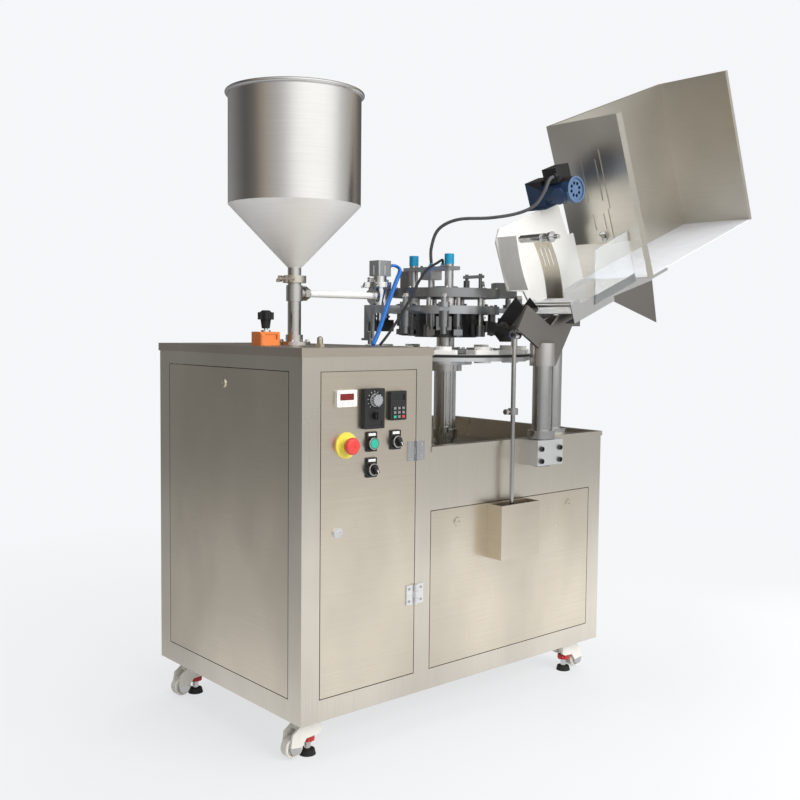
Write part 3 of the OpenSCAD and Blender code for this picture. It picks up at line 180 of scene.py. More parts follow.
def polished(name, color, rough=0.12):
    """Turned or polished metal with faint rings and fingerprints."""
    material, nodes, links = new_material(name)
    shader = nodes["Principled BSDF"]
    shader.inputs["Metallic"].default_value = 1.0
    marks = noise(nodes, links, 30.0, (1, 1, 3), 5.0)
    links.new(ramp(nodes, links, marks, shade(color, 0.9), color), shader.inputs["Base Color"])
    links.new(ramp(nodes, links, marks, rough + 0.08, rough), shader.inputs["Roughness"])
    return material


def moulded(name, color, rough=0.45, grain=900.0, variation=0.12, coat=0.0):
    """Moulded plastic or paint: a fine grain with slightly uneven colour and gloss."""
    material, nodes, links = new_material(name)
    shader = nodes["Principled BSDF"]
    shader.inputs["Coat Weight"].default_value = coat
    fine = noise(nodes, links, grain, (1, 1, 1), 2.0)
    slow = noise(nodes, links, 14.0, (1, 1, 1), 4.0)
    links.new(ramp(nodes, links, slow, shade(color, 1 - variation), color), shader.inputs["Base Color"])
    links.new(ramp(nodes, links, slow, rough + 0.1, rough - 0.05), shader.inputs["Roughness"])
    links.new(bump(nodes, links, fine, 0.08, 0.0002), shader.inputs["Normal"])
    return material


def clear(name, color):
    """Clear acrylic sheet with faint scuffs."""
    material, nodes, links = new_material(name)
    shader = nodes["Principled BSDF"]
    shader.inputs["Transmission Weight"].default_value = 0.8
    shader.inputs["IOR"].default_value = 1.15
    scuffs = noise(nodes, links, 60.0, (1, 1, 6), 6.0)
    links.new(ramp(nodes, links, scuffs, shade(color, 0.94), color), shader.inputs["Base Color"])
    links.new(ramp(nodes, links, scuffs, 0.04, 0.16, 0.5, 0.8), shader.inputs["Roughness"])
    return material


PANEL_STEEL = brushed("panel_steel", (0.77, 0.695, 0.57), 0.28, clouds=0.1)
CASING_STEEL = brushed("casing_steel", (0.77, 0.715, 0.62), 0.26, (260, 260, 2))
COVER_STEEL = brushed("cover_steel", (0.64, 0.57, 0.48), 0.32, (2, 260, 260))
# The deck's steel has a dark tone that is painted shade for the tray's recess
SHADED_DECK_STEEL = brushed("shaded_deck_steel", (0.34, 0.325, 0.30), 0.4, (2, 260, 260))
HOPPER_STEEL = brushed("hopper_steel", (0.80, 0.79, 0.77), 0.24, (3, 3, 300), 0.04, 0.04)
CONE_STEEL = brushed("cone_steel", (0.92, 0.915, 0.90), 0.42, (3, 3, 300), 0.03, 0.04, 0.35)
PIPE_STEEL = brushed("pipe_steel", (0.66, 0.64, 0.61), 0.2, (3, 3, 200), 0.06, 0.05)
HOOD_STEEL = brushed("hood_steel", (0.74, 0.705, 0.63), 0.36, (2, 2, 240), 0.08)
HOOD_FLOOR = moulded("hood_floor_film", (0.74, 0.76, 0.81), 0.35, 600, 0.08, 0.2)
BED_STEEL = brushed("bed_steel", (0.78, 0.78, 0.78), 0.3, (240, 2, 2), 0.06)
# Dark steel for the brackets; on the gusset under the magazine rail its dark tone is painted shade
BRACKET_STEEL = brushed("bracket_steel", (0.30, 0.285, 0.265), 0.42, (2, 2, 200), 0.1)
CHROME = polished("turned_steel", (0.62, 0.615, 0.60), 0.14)
BRIGHT = polished("bright_steel", (0.82, 0.82, 0.82), 0.08)
ALUMINIUM = brushed("aluminium_plate", (0.70, 0.71, 0.72), 0.36, (180, 2, 180), 0.06)
CAST_ALUMINIUM = brushed("cast_aluminium", (0.84, 0.845, 0.84), 0.42, (160, 160, 2), 0.06)
TABLE_STEEL = brushed("table_steel", (0.46, 0.47, 0.485), 0.34, (150, 150, 2), 0.12)
TOOL_STEEL = brushed("tool_steel", (0.30, 0.305, 0.31), 0.34, (150, 150, 2), 0.16)
BLACK_STEEL = brushed("black_oxide_steel", (0.095, 0.095, 0.098), 0.36, (120, 120, 2), 0.2)
TROUGH_BLACK = moulded("trough_black", (0.022, 0.022, 0.023), 0.4, 800, 0.25)
WHITE_PLASTIC = moulded("white_plastic", (0.80, 0.80, 0.775), 0.4, 900, 0.05)
WHITE_PIPE = moulded("white_pipe", (0.84, 0.84, 0.82), 0.3, 900, 0.04, 0.3)
NYLON = moulded("caster_nylon", (0.76, 0.75, 0.70), 0.4, 700, 0.08)
BLACK_PLASTIC = moulded("black_plastic", (0.018, 0.018, 0.019), 0.42, 900, 0.25)
BLACK_RUBBER = moulded("black_rubber", (0.014, 0.014, 0.014), 0.7, 500, 0.3)
GREY_PLASTIC = moulded("grey_plastic", (0.78, 0.77, 0.74), 0.38, 900, 0.05)
RED_DIAL = moulded("red_dial", (0.52, 0.035, 0.03), 0.4, 900, 0.12)
RED_GLOSS = moulded("red_gloss", (0.70, 0.055, 0.045), 0.25, 1200, 0.1, 0.4)
YELLOW_GLOSS = moulded("yellow_gloss", (0.82, 0.72, 0.10), 0.35, 1200, 0.08, 0.2)
GREEN_GLOSS = moulded("green_gloss", (0.02, 0.45, 0.30), 0.28, 1200, 0.1, 0.3)
ORANGE_GLOSS = moulded("orange_gloss", (0.86, 0.24, 0.05), 0.32, 1200, 0.08, 0.3)
CYAN_CAP = moulded("cyan_cap", (0.0, 0.34, 0.62), 0.35, 1000, 0.1, 0.2)
MOTOR_BLUE = moulded("motor_blue", (0.022, 0.055, 0.135), 0.35, 800, 0.2, 0.2)
FAN_BLUE = moulded("fan_blue", (0.10, 0.17, 0.30), 0.4, 800, 0.1)
HOSE_BLUE = moulded("hose_blue", (0.015, 0.17, 0.60), 0.28, 1200, 0.12, 0.3)
KEY_GREY = moulded("key_grey", (0.20, 0.205, 0.21), 0.45, 1200, 0.1)
LEAD_GREY = moulded("lead_grey", (0.10, 0.10, 0.105), 0.45, 600, 0.2)
LEAD_BLACK = moulded("lead_black", (0.02, 0.02, 0.021), 0.45, 600, 0.25)
DISPLAY_RED = moulded("display_red", (0.20, 0.012, 0.010), 0.15, 1500, 0.2, 0.6)
DISPLAY_DARK = moulded("display_dark", (0.012, 0.016, 0.014), 0.12, 1500, 0.3, 0.6)
CLEAR = clear("clear_acrylic", (0.94, 0.97, 1.0))


def dress(names, material):
    """Gives whole nodes one material."""
    for name in names.split():
        data = NODES[name].data
        data.materials.clear()
        data.materials.append(material)


def paint(name, material, test):
    """Gives the faces of a node that pass a test of centre and facing another material."""
    data = NODES[name].data
    data.materials.append(material)
    index = len(data.materials) - 1
    for face in data.polygons:
        if test(face.center, face.normal):
            face.material_index = index


def cabinet_point(p):
    """A point of the row frame in the cabinet frame's millimetres."""
    return (p - CORNER) * 1000


def magazine_point(p):
    """A point of the row frame in the magazine frame's millimetres."""
    return (TO_MAGAZINE @ p) * 1000


def from_dial(q):
    """Distance of a point of the cabinet frame from the dial's axis."""
    return math.hypot(q.x - DIAL_AXIS[0], q.y - DIAL_AXIS[1])


# Where a node changes its finish: heights and distances in millimetres of the cabinet frame
HOPPER_SEAM = 1210
TABLE_UNDERSIDE = 930
TABLE_TOOLS_TOP = TABLE_UNDERSIDE - 1
TABLE_TOOLS_REACH = 95
HEAD_TOP = 1000
HEAD_TOOLS_TOP = TABLE_UNDERSIDE - 10
HEAD_TOOLS_START = 130
HEAD_RODS_TOP = HEAD_TOP - 30
HEAD_HUB_FOOT = HEAD_TOP + 9
HEAD_HUB_REACH = 90
POST_TOP = 1065
BRIDGE_ZONE = (1020, POST_TOP - 5)
TROUGH_BRACKET = (960, 935)
COLUMN_SOCKET = (800, 846)
INDICATOR_TOP = 878.5
WINDOW_FOOT = 725
WINDOW_FLOOR = (-7.5, -6.5)
DISPLAY_FLOOR = (-9.5, -8.5)
HANDLE_FACE = -24.4
LEAF_BACK = -0.3
# The same in the magazine frame
# The gusset's reach below the rail, where its dark steel is painted shade
GUSSET = (-80, -24)
HOOD_FLOOR_ENDS = (2, 560)
HOOD_SHEET = 3
TERMINAL_BOX_FOOT = 315
FAN_FACE = -29
# Casters: their swivels in the cabinet frame; heights off the floor and the levelling dial's reach, in metres
CASTER_SPOTS = [(x, y) for y in (66, 581) for x in (66, 982)]
PAD_TOP = 0.013
SCREW_TOP = 0.032
LEVEL_DIAL_TOP = 0.0455
LEVEL_DIAL_REACH = 0.0215

dress("tall_casing low_casing", CASING_STEEL)
dress("panels door guard_box", PANEL_STEEL)
dress("top_cover", COVER_STEEL)
# The whole deck gets the dark steel, painted shade for the tray's recess
dress("deck", SHADED_DECK_STEEL)
dress("hood gate", HOOD_STEEL)
dress("mag_bed", BED_STEEL)
dress("guide_band pipe_clamp", CASING_STEEL)
dress("hopper", HOPPER_STEEL)
dress("standpipe", PIPE_STEEL)
dress("hinge_leaves door_lock fill_valve", BRIGHT)
dress("main_column guide_posts columns push_rod", CHROME)
dress("dial air_cylinder speed_knob", ALUMINIUM)
dress("tooling_table", TABLE_STEEL)
dress("column_block", CAST_ALUMINIUM)
dress("tooling_head", TOOL_STEEL)
dress("jaw_inner jaw_outer", BLACK_STEEL)
dress("trough", TROUGH_BLACK)
dress("gear_motor", MOTOR_BLUE)
dress("speed_unit keypad switch_bezels selector_a selector_b star_knob", BLACK_PLASTIC)
dress("cups_1 cups_2 cups_3 chute_boards", WHITE_PLASTIC)
dress("feed_pipe", WHITE_PIPE)
dress("counter", GREY_PLASTIC)
dress("estop_ring", YELLOW_GLOSS)
dress("estop_head", RED_GLOSS)
dress("green_button", GREEN_GLOSS)
dress("indicator", ORANGE_GLOSS)
dress("mag_window", CLEAR)
dress("motor_cable sensor_cable", LEAD_GREY)
dress("hose_a hose_b", HOSE_BLUE)
for number, (spot_x, spot_y) in enumerate(CASTER_SPOTS, 1):
    swivel = at(spot_x, spot_y, 0)
    caster = f"caster_{number}"
    dress(f"{caster} wheel_{number}", NYLON)
    paint(caster, RED_DIAL, lambda p, n: SCREW_TOP < p.z < LEVEL_DIAL_TOP
          and math.hypot(p.x - swivel.x, p.y - swivel.y) < LEVEL_DIAL_REACH)
    paint(caster, BLACK_RUBBER, lambda p, n: p.z < PAD_TOP)
    paint(caster, CHROME, lambda p, n: PAD_TOP < p.z < SCREW_TOP)


def paint_cabinet(name, material, test):
    """Paints by a face's centre in the cabinet frame."""
    paint(name, material, lambda p, n: test(cabinet_point(p)))


def paint_magazine(name, material, test):
    """Paints by a face's centre in the magazine frame."""
    paint(name, material, lambda p, n: test(magazine_point(p)))


paint("hopper", CONE_STEEL, lambda p, n: n.z < -0.3 and cabinet_point(p).z < HOPPER_SEAM)
paint_cabinet("tooling_table", TOOL_STEEL, lambda q: q.z < TABLE_TOOLS_TOP)
paint_cabinet("tooling_table", BLACK_STEEL,
              lambda q: q.z < TABLE_TOOLS_TOP and from_dial(q) < TABLE_TOOLS_REACH)
paint_cabinet("tooling_head", BLACK_STEEL, lambda q: q.z < HEAD_TOOLS_TOP and from_dial(q) > HEAD_TOOLS_START)
paint_cabinet("tooling_head", CHROME, lambda q: HEAD_TOOLS_TOP < q.z < HEAD_RODS_TOP)
paint_cabinet("tooling_head", ALUMINIUM, lambda q: q.z > HEAD_HUB_FOOT and from_dial(q) < HEAD_HUB_REACH)
paint_cabinet("guide_posts", CYAN_CAP, lambda q: q.z > POST_TOP)
paint_cabinet("guide_posts", ALUMINIUM, lambda q: BRIDGE_ZONE[0] < q.z < BRIDGE_ZONE[1])
paint_cabinet("mag_bed", BRACKET_STEEL, lambda q: q.x < TROUGH_BRACKET[0] and q.z < TROUGH_BRACKET[1])
# The gusset under the magazine rail gets the dark bracket steel as painted shade
paint_magazine("mag_bed", BRACKET_STEEL, lambda q: q.x > GUSSET[0] and q.z < GUSSET[1])
paint_cabinet("mag_bed", PIPE_STEEL, lambda q: q.x < COLUMN_SOCKET[0] and q.z < COLUMN_SOCKET[1])
paint_magazine("hood", HOOD_FLOOR,
               lambda q: abs(q.z) < HOOD_SHEET and HOOD_FLOOR_ENDS[0] < q.x < HOOD_FLOOR_ENDS[1])
paint_magazine("gear_motor", BLACK_PLASTIC, lambda q: q.z > TERMINAL_BOX_FOOT)
paint_magazine("gear_motor", FAN_BLUE, lambda q: q.y < FAN_FACE)
paint_cabinet("indicator", BRIGHT, lambda q: q.z > INDICATOR_TOP)
paint_cabinet("counter", DISPLAY_RED,
              lambda q: WINDOW_FLOOR[0] < q.y < WINDOW_FLOOR[1] and q.z > WINDOW_FOOT)
paint_cabinet("door", BRIGHT, lambda q: q.y < LEAF_BACK)
paint_cabinet("keypad", DISPLAY_DARK, lambda q: DISPLAY_FLOOR[0] < q.y < DISPLAY_FLOOR[1])
for selector in ("selector_a", "selector_b"):
    paint_cabinet(selector, WHITE_PLASTIC, lambda q: q.y < HANDLE_FACE)


def soften(names, width):
    """Rounds the edges of folded or milled pieces a little."""
    for name in names.split():
        modifier = NODES[name].modifiers.new("edge", "BEVEL")
        modifier.width = width
        modifier.segments = 2
        modifier.limit_method = "ANGLE"
        modifier.angle_limit = math.radians(50)


soften("tall_casing low_casing top_cover hood guard_box", 0.0012)
soften("door panels column_block", 0.0015)
soften("counter speed_unit keypad air_cylinder", 0.0008)

# Mesh helpers


def add_mesh(name, verts, faces, body, material, smooth=True):
    """A piece from vertices in metres and faces, which rides on a body."""
    data = bpy.data.meshes.new(name)
    data.from_pydata([tuple(v) for v in verts], [], faces)
    data.materials.append(material)
    for face in data.polygons:
        face.use_smooth = smooth
    piece = bpy.data.objects.new(name, data)
    bpy.context.scene.collection.objects.link(piece)
    if smooth:
        modifier = piece.modifiers.new("flat_edges", "EDGE_SPLIT")
        modifier.split_angle = math.radians(40)
    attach(piece, body)
    return piece


def thicken(piece, thickness):
    """Gives a sheet its thickness in millimetres, half of it on each side."""
    modifier = piece.modifiers.new("sheet", "SOLIDIFY")
    modifier.thickness = thickness / 1000
    modifier.offset = 0


def round_edges(piece, width, segments):
    """Rounds all edges of a piece; the width is in metres."""
    modifier = piece.modifiers.new("edge", "BEVEL")
    modifier.width = width
    modifier.segments = segments


def axis_frame(point, axis):
    """Places a piece drawn along +Z at a point, with its +Z along the axis."""
    turn = Vector((0, 0, 1)).rotation_difference(Vector(axis).normalized())
    return Matrix.Translation(point) @ turn.to_matrix().to_4x4()


def lathe(profile, segments, across_flats, capped):
    """Vertices and faces of a turned shape; rings whose index is in across_flats are hexagonal."""
    verts, faces = [], []
    for ring, (radius, height) in enumerate(profile):
        for k in range(segments):
            turn = 2 * math.pi * k / segments
            r = radius
            if ring in across_flats:
                r = radius / math.cos((turn % (math.pi / 3)) - math.pi / 6)
            verts.append(Vector((r * math.cos(turn), r * math.sin(turn), height)) / 1000)
    for ring in range(len(profile) - 1):
        for k in range(segments):
            a, b = ring * segments + k, ring * segments + (k + 1) % segments
            faces.append((a, b, b + segments, a + segments))
    if capped:
        faces.append(tuple(reversed(range(segments))))
        last = (len(profile) - 1) * segments
        faces.append(tuple(range(last, last + segments)))
    return verts, faces


def add_turned(name, places, profile, body, material, across_flats=(), segments=24, capped=True):
    """One piece made of a turned shape repeated at each (point, axis)."""
    shape, shape_faces = lathe(profile, segments, across_flats, capped)
    verts, faces = [], []
    for point, axis in places:
        start = len(verts)
        matrix = axis_frame(point, axis)
        verts += [matrix @ v for v in shape]
        faces += [tuple(i + start for i in face) for face in shape_faces]
    add_mesh(name, verts, faces, body, material)


def cap_screw(diameter, height):
    """Profile of a socket head cap screw; rings 3 and 4 are its hexagonal socket."""
    r, socket = diameter / 2, diameter * 0.28
    return [(r, -0.5), (r, height - 0.8), (r - 0.8, height), (socket, height), (socket, height * 0.45),
            (socket * 0.2, height * 0.45)]


SOCKET_RINGS = (3, 4)


def hex_bolt(across, height):
    """Profile of a hexagon head on its washer; the head's rings are hexagonal."""
    half = across / 2
    return [(half * 1.35, -0.3), (half * 1.35, 1.4), (half, 1.4), (half, height - 1), (half * 0.88, height)]


HEAD_RINGS = (2, 3)


def screw_head(diameter, height=2.2):
    """Profile of a domed screw head with a small round recess."""
    r = diameter / 2
    return [(r, -0.3), (r, height * 0.3), (r * 0.85, height * 0.75), (r * 0.5, height), (r * 0.28, height),
            (r * 0.25, height * 0.4)]


FRONT = (0, -1, 0)
UP = (0, 0, 1)
DOWN = (0, 0, -1)

# Leads and hoses: the same routes as in the solids

MOTOR_CABLE = [
    (800, -16, 1294), (782, -18, 1284), (766, -14, 1250), (750, 4, 1216), (722, 40, 1196),
    (682, 100, 1186), (640, 180, 1184), (622, 236, 1160), (624, 266, 1112), (630, 272, 1070)]
HOSE_A = [
    (522, 336, 1060), (545, 332, 1062), (548, 312, 1050), (520, 296, 1016), (470, 272, 952),
    (410, 236, 882), (374, 214, 847)]
HOSE_B = [
    (522, 320, 1060), (540, 316, 1060), (540, 298, 1046), (512, 282, 1012), (462, 258, 948),
    (402, 222, 878), (366, 200, 847)]
SENSOR_CABLE = [
    (642, 238, 1070), (634, 232, 1078), (606, 222, 1068), (560, 212, 1048), (520, 202, 1012),
    (470, 188, 954), (412, 186, 884), (376, 186, 847)]


def smooth_route(route, per_span=8):
    """Points of a smooth curve through the route, in metres."""
    points = [at(*p) for p in route]
    ends = [points[0], *points, points[-1]]
    curve = []
    for a, b, c, d in zip(ends, ends[1:], ends[2:], ends[3:]):
        for k in range(per_span):
            t = k / per_span
            curve.append(0.5 * (2 * b + (c - a) * t + (2 * a - 5 * b + 4 * c - d) * t ** 2
                                + (3 * b - a - 3 * c + d) * t ** 3))
    return curve + [points[-1]]


def add_cord(name, route, diameter, material, node):
    """A lead or hose of a diameter in millimetres that stands for a node."""
    points = smooth_route(route)
    data = bpy.data.curves.new(name, "CURVE")
    data.dimensions = "3D"
    data.bevel_depth = diameter / 2000
    data.bevel_resolution = 4
    data.use_fill_caps = True
    spline = data.splines.new("POLY")
    spline.points.add(len(points) - 1)
    for point, p in zip(spline.points, points):
        point.co = (*p, 1)
    data.materials.append(material)
    piece = bpy.data.objects.new(name, data)
    bpy.context.scene.collection.objects.link(piece)
    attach(piece, "frame")
    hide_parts(node)


add_cord("motor_lead", MOTOR_CABLE, 9, LEAD_GREY, "motor_cable")
add_cord("air_hose_a", HOSE_A, 8, HOSE_BLUE, "hose_a")
add_cord("air_hose_b", HOSE_B, 8, HOSE_BLUE, "hose_b")
add_cord("sensor_lead", SENSOR_CABLE, 7, LEAD_BLACK, "sensor_cable")

# Small fittings

BLOCK_CENTRE_X = 748.06
BLOCK_BOLT_REACH = 36
BLOCK_LEVELS = (548, 580)
BLOCK_FACE_Y = -69
STANDPIPE = (207, 325.06)
FLANGE_BOLT_CIRCLE = 33
FLANGE_TOP = 853
HINGE_LEVELS = (597, 247)
LEAF_SCREW_RISE = 15
LEAF_FACE_Y = -3
FRAME_LEAF_X = 354
DOOR_LEAF_X = 316
HUB_BOLT_CIRCLE = 52
HUB_TOP = 833
CYLINDER = (490, 325.06)
CYLINDER_TOP = 1067.5
BRIDGE = (630, 272)
BRIDGE_TOP = 1059
CASTER_PLATE_UNDERSIDE = -6


def around(centre, half_x, half_y, z, axis):
    """A place at each corner of a rectangle around a centre, facing along the axis."""
    return [(at(centre[0] + x, centre[1] + y, z), axis)
            for x in (-half_x, half_x) for y in (-half_y, half_y)]


def on_leaves(x):
    """Places of the screws in one side of both hinges."""
    return [(at(x, LEAF_FACE_Y, z + dz), FRONT)
            for z in HINGE_LEVELS for dz in (-LEAF_SCREW_RISE, LEAF_SCREW_RISE)]


block_bolts = [(at(BLOCK_CENTRE_X + dx, BLOCK_FACE_Y, z), FRONT)
               for dx in (-BLOCK_BOLT_REACH, BLOCK_BOLT_REACH) for z in BLOCK_LEVELS]
add_turned("block_screws", block_bolts, cap_screw(14, 6), "frame", BLACK_STEEL, SOCKET_RINGS)

flange_bolts = []
for quarter in range(4):
    turn = math.pi / 4 + quarter * math.pi / 2
    bolt_x = STANDPIPE[0] + FLANGE_BOLT_CIRCLE * math.cos(turn)
    bolt_y = STANDPIPE[1] + FLANGE_BOLT_CIRCLE * math.sin(turn)
    flange_bolts.append((at(bolt_x, bolt_y, FLANGE_TOP), UP))
add_turned("flange_bolts", flange_bolts, hex_bolt(10, 6), "frame", BRIGHT, HEAD_RINGS)

add_turned("hinge_screws_frame", on_leaves(FRAME_LEAF_X), screw_head(7), "frame", CHROME)
add_turned("hinge_screws_door", on_leaves(DOOR_LEAF_X), screw_head(7), "door", CHROME)

hub_screws = [(on_dial(k * 60, HUB_BOLT_CIRCLE, HUB_TOP), UP) for k in range(6)]
add_turned("hub_screws", hub_screws, cap_screw(10, 5), "dial", BRIGHT, SOCKET_RINGS)

cylinder_screws = around(CYLINDER, 15, 15, CYLINDER_TOP, UP)
add_turned("cylinder_screws", cylinder_screws, cap_screw(5.4, 4), "frame", BRIGHT, SOCKET_RINGS)

bridge_screws = around(BRIDGE, 14, 24, BRIDGE_TOP, UP)
add_turned("bridge_screws", bridge_screws, cap_screw(7, 4), "frame", BLACK_STEEL, SOCKET_RINGS)

plate_bolts = []
for spot in CASTER_SPOTS:
    plate_bolts += around(spot, 33, 33, CASTER_PLATE_UNDERSIDE, DOWN)
add_turned("caster_plate_bolts", plate_bolts, hex_bolt(8, 5), "frame", CHROME, HEAD_RINGS)


def add_spring(name, places, radius, wire, height, turns, body, material):
    """Compression springs, each a coil that stands on a (point, axis)."""
    data = bpy.data.curves.new(name, "CURVE")
    data.dimensions = "3D"
    data.bevel_depth = wire / 2000
    data.bevel_resolution = 2
    per_turn = 16
    for point, axis in places:
        matrix = axis_frame(point, axis)
        spline = data.splines.new("POLY")
        count = turns * per_turn + 1
        spline.points.add(count - 1)
        for k in range(count):
            turn = 2 * math.pi * k / per_turn
            rise = height * k / (count - 1)
            coil = Vector((radius * math.cos(turn), radius * math.sin(turn), rise)) / 1000
            spline.points[k].co = (*(matrix @ coil), 1)
    data.materials.append(material)
    piece = bpy.data.objects.new(name, data)
    bpy.context.scene.collection.objects.link(piece)
    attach(piece, body)


FOLD_ANGLES = (15, 45, 105, 135)
FOLD_SEAT = 927
fold_springs = [(on_dial(a, PITCH_RADIUS, FOLD_SEAT), UP) for a in FOLD_ANGLES]
add_spring("fold_springs", fold_springs, radius=10.5, wire=2, height=50, turns=8, body="tooling_head",
           material=BRIGHT)

# Screws, nuts and belt of the tooling station

SCREW_CIRCLE = 140
TABLE_TOP = 952
FOLD_TOP = HEAD_TOP + 22
STATION_ANGLES = (195, 225, 315, 345)
STATION_TOP = 974
table_screws = [(on_dial(k * 30 + 8, SCREW_CIRCLE, TABLE_TOP), UP) for k in range(12)]
add_turned("table_screws", table_screws, cap_screw(9, 5), "frame", BLACK_STEEL, SOCKET_RINGS)
head_screws = [(on_dial(k * 45 + 2, SCREW_CIRCLE, HEAD_TOP), UP) for k in range(8)]
add_turned("head_screws", head_screws, cap_screw(9, 5), "tooling_head", BRIGHT, SOCKET_RINGS)
fold_nuts = [(on_dial(a, PITCH_RADIUS, FOLD_TOP), UP) for a in FOLD_ANGLES]
add_turned("fold_nuts", fold_nuts, hex_bolt(13, 9), "tooling_head", BRIGHT, HEAD_RINGS)
station_nuts = [(on_dial(a, PITCH_RADIUS, STATION_TOP), UP) for a in STATION_ANGLES]
add_turned("station_nuts", station_nuts, hex_bolt(13, 9), "frame", BRIGHT, HEAD_RINGS)

DIAL_RADIUS = 236
BELT_FOOT = 814.5
belt = [(DIAL_RADIUS - 1, 0), (DIAL_RADIUS + 0.4, 0.6), (DIAL_RADIUS + 0.4, 7.4), (DIAL_RADIUS - 1, 8)]
add_turned("dial_belt", [(at(*DIAL_AXIS, BELT_FOOT), UP)], belt, "dial", BLACK_RUBBER, segments=96,
           capped=False)

# Sheet pieces of the magazine


def add_sheet(name, us, vs, holes, place, thickness, body, material):
    """A sheet on a grid of u and v, open where a cell's middle lies in a hole (u0, u1, v0, v1)."""
    verts = [place(u, v) for u in us for v in vs]
    faces = []
    for i in range(len(us) - 1):
        for j in range(len(vs) - 1):
            u, v = (us[i] + us[i + 1]) / 2, (vs[j] + vs[j + 1]) / 2
            if not any(u0 < u < u1 and v0 < v < v1 for u0, u1, v0, v1 in holes):
                k = i * len(vs) + j
                faces.append((k, k + 1, k + 1 + len(vs), k + len(vs)))
    piece = add_mesh(name, verts, faces, body, material, smooth=False)
    thicken(piece, thickness)
    return piece


def add_plate(name, outline, place, thickness, body, material):
    """A flat plate of one outline of (u, v) corners."""
    corners = [place(u, v) for u, v in outline]
    piece = add_mesh(name, corners, [tuple(range(len(corners)))], body, material, smooth=False)
    thicken(piece, thickness)
    round_edges(piece, 0.0008, 2)
    return piece


def steps(start, end, count):
    """Even steps from start to end."""
    return [start + (end - start) * k / count for k in range(count + 1)]


BOARD_THICKNESS = 6
BOARD_Y = 81
BOARD_OUTLINE = [
    (-345, 84), (-345, 220), (-321, 250), (-72, 250), (-60, 150),
    (-34, 150), (-34, -26), (-268, -26), (-268, 0), (-286, 62)]
board = add_plate("feed_board", BOARD_OUTLINE, lambda s, n: on_magazine(s, BOARD_Y, n), BOARD_THICKNESS,
                  "frame", WHITE_PLASTIC)
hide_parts("chute_boards")

# The end board and the guide strip are bent around axes across the magazine, each at its own s and n
END_AXIS = (75, 150)
END_RADIUS = 417


def on_end_board(y, n):
    return on_magazine(END_AXIS[0] - math.sqrt(END_RADIUS ** 2 - (n - END_AXIS[1]) ** 2), y, n)


add_sheet("end_board", steps(10, 78, 4), steps(84, 230, 24), [], on_end_board, BOARD_THICKNESS, "frame",
          WHITE_PLASTIC)

STRIP_AXIS = (-592, 110)
STRIP_RADIUS = 328.5
STRIP_Y = -42
STRIP_THICKNESS = 3
STRIP_SLOTS = [(y, y + 5, 128, 176) for y in (12, 26, 40)]


def on_strip(y, n):
    bulge = math.sqrt(STRIP_RADIUS ** 2 - (n - STRIP_AXIS[1]) ** 2)
    return on_magazine(STRIP_AXIS[0] + bulge, STRIP_Y + y, n)


band = add_sheet("guide_strip", [0, 12, 17, 26, 31, 40, 45, 56], steps(36, 216, 30), STRIP_SLOTS, on_strip,
                 STRIP_THICKNESS, "frame", CASING_STEEL)
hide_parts("guide_band")

CROSS_ROD = (-305, 212)
across = MAGAZINE.to_3x3() @ Vector((0, 1, 0))


def add_on_rod(name, y, profile, material, across_flats=()):
    """A turned piece on the cross rod, from y towards the back."""
    place = on_magazine(CROSS_ROD[0], y, CROSS_ROD[1])
    add_turned(name, [(place, across)], profile, "frame", material, across_flats)


add_on_rod("guide_boss", -46, [(9, 0), (10.5, 1.5), (10.5, 70.5), (9, 72)], CHROME)
add_on_rod("cross_rod", -101, [(5, 0), (6, 1), (6, 193), (5, 194)], BRIGHT)
add_on_rod("rod_collar", 84, [(12, 0), (13, 1), (13, 11), (12, 12)], CHROME)
add_on_rod("rod_nut", -80, [(14, 0), (14, 2), (11, 2), (11, 11), (9.6, 12)], BRIGHT, HEAD_RINGS)
CLAMP_Y = -14
CLAMP_WIDTH = 56
add_plate("strip_clamp", [(12, -14), (34, -14), (34, -2), (12, -2)],
          lambda u, v: on_magazine(CROSS_ROD[0] + u, CLAMP_Y, CROSS_ROD[1] + v), CLAMP_WIDTH, "frame",
          CHROME)

GATE_FOOT = 105
GATE_PLATE_S = -3.3
GATE_FACE_S = -4.4
GATE_SLOTS = [(-26, -22, 121, 236), (22, 26, 121, 236)]
add_sheet("gate_plate", [-40, -26, -22, 22, 26, 40], [96, 121, 236, 262], GATE_SLOTS,
          lambda y, n: on_magazine(GATE_PLATE_S, y, GATE_FOOT + n), 2, "gate", HOOD_STEEL)
down_slope = MAGAZINE.to_3x3() @ Vector((-1, 0, 0))
add_turned("gate_knob_washer", [(on_magazine(GATE_FACE_S, 0, GATE_FOOT + 20), down_slope)],
           [(15, 0), (15, 1.6), (13.5, 2.4)], "gate", BRIGHT)

# Control panel


def add_blocks(name, places, size, body, material, edge=0.0008):
    """Small rounded blocks, each centred on a point."""
    verts, faces = [], []
    sides = [(0, 1, 3, 2), (4, 6, 7, 5), (0, 4, 5, 1), (2, 3, 7, 6), (0, 2, 6, 4), (1, 5, 7, 3)]
    for point in places:
        start = len(verts)
        for x in (-0.5, 0.5):
            for y in (-0.5, 0.5):
                for z in (-0.5, 0.5):
                    verts.append(point + Vector((x * size[0], y * size[1], z * size[2])) / 1000)
        faces += [tuple(i + start for i in side) for side in sides]
    piece = add_mesh(name, verts, faces, body, material, smooth=False)
    round_edges(piece, edge, 3)


KEY_SIZE = (8, 2, 6)
KEY_COLUMNS = (257, 270, 283)
KEY_ROWS = (703, 693, 683)
KEY_Y = -12.8
grey_keys = [at(x, KEY_Y, z) for x in KEY_COLUMNS for z in KEY_ROWS[:2]]
grey_keys.append(at(KEY_COLUMNS[1], KEY_Y, KEY_ROWS[2]))
add_blocks("keypad_keys", grey_keys, KEY_SIZE, "door", KEY_GREY)
add_blocks("keypad_stop_key", [at(KEY_COLUMNS[2], KEY_Y, KEY_ROWS[2])], KEY_SIZE, "door", RED_GLOSS)
add_blocks("keypad_run_key", [at(KEY_COLUMNS[0], KEY_Y, KEY_ROWS[2])], KEY_SIZE, "door", GREEN_GLOSS)

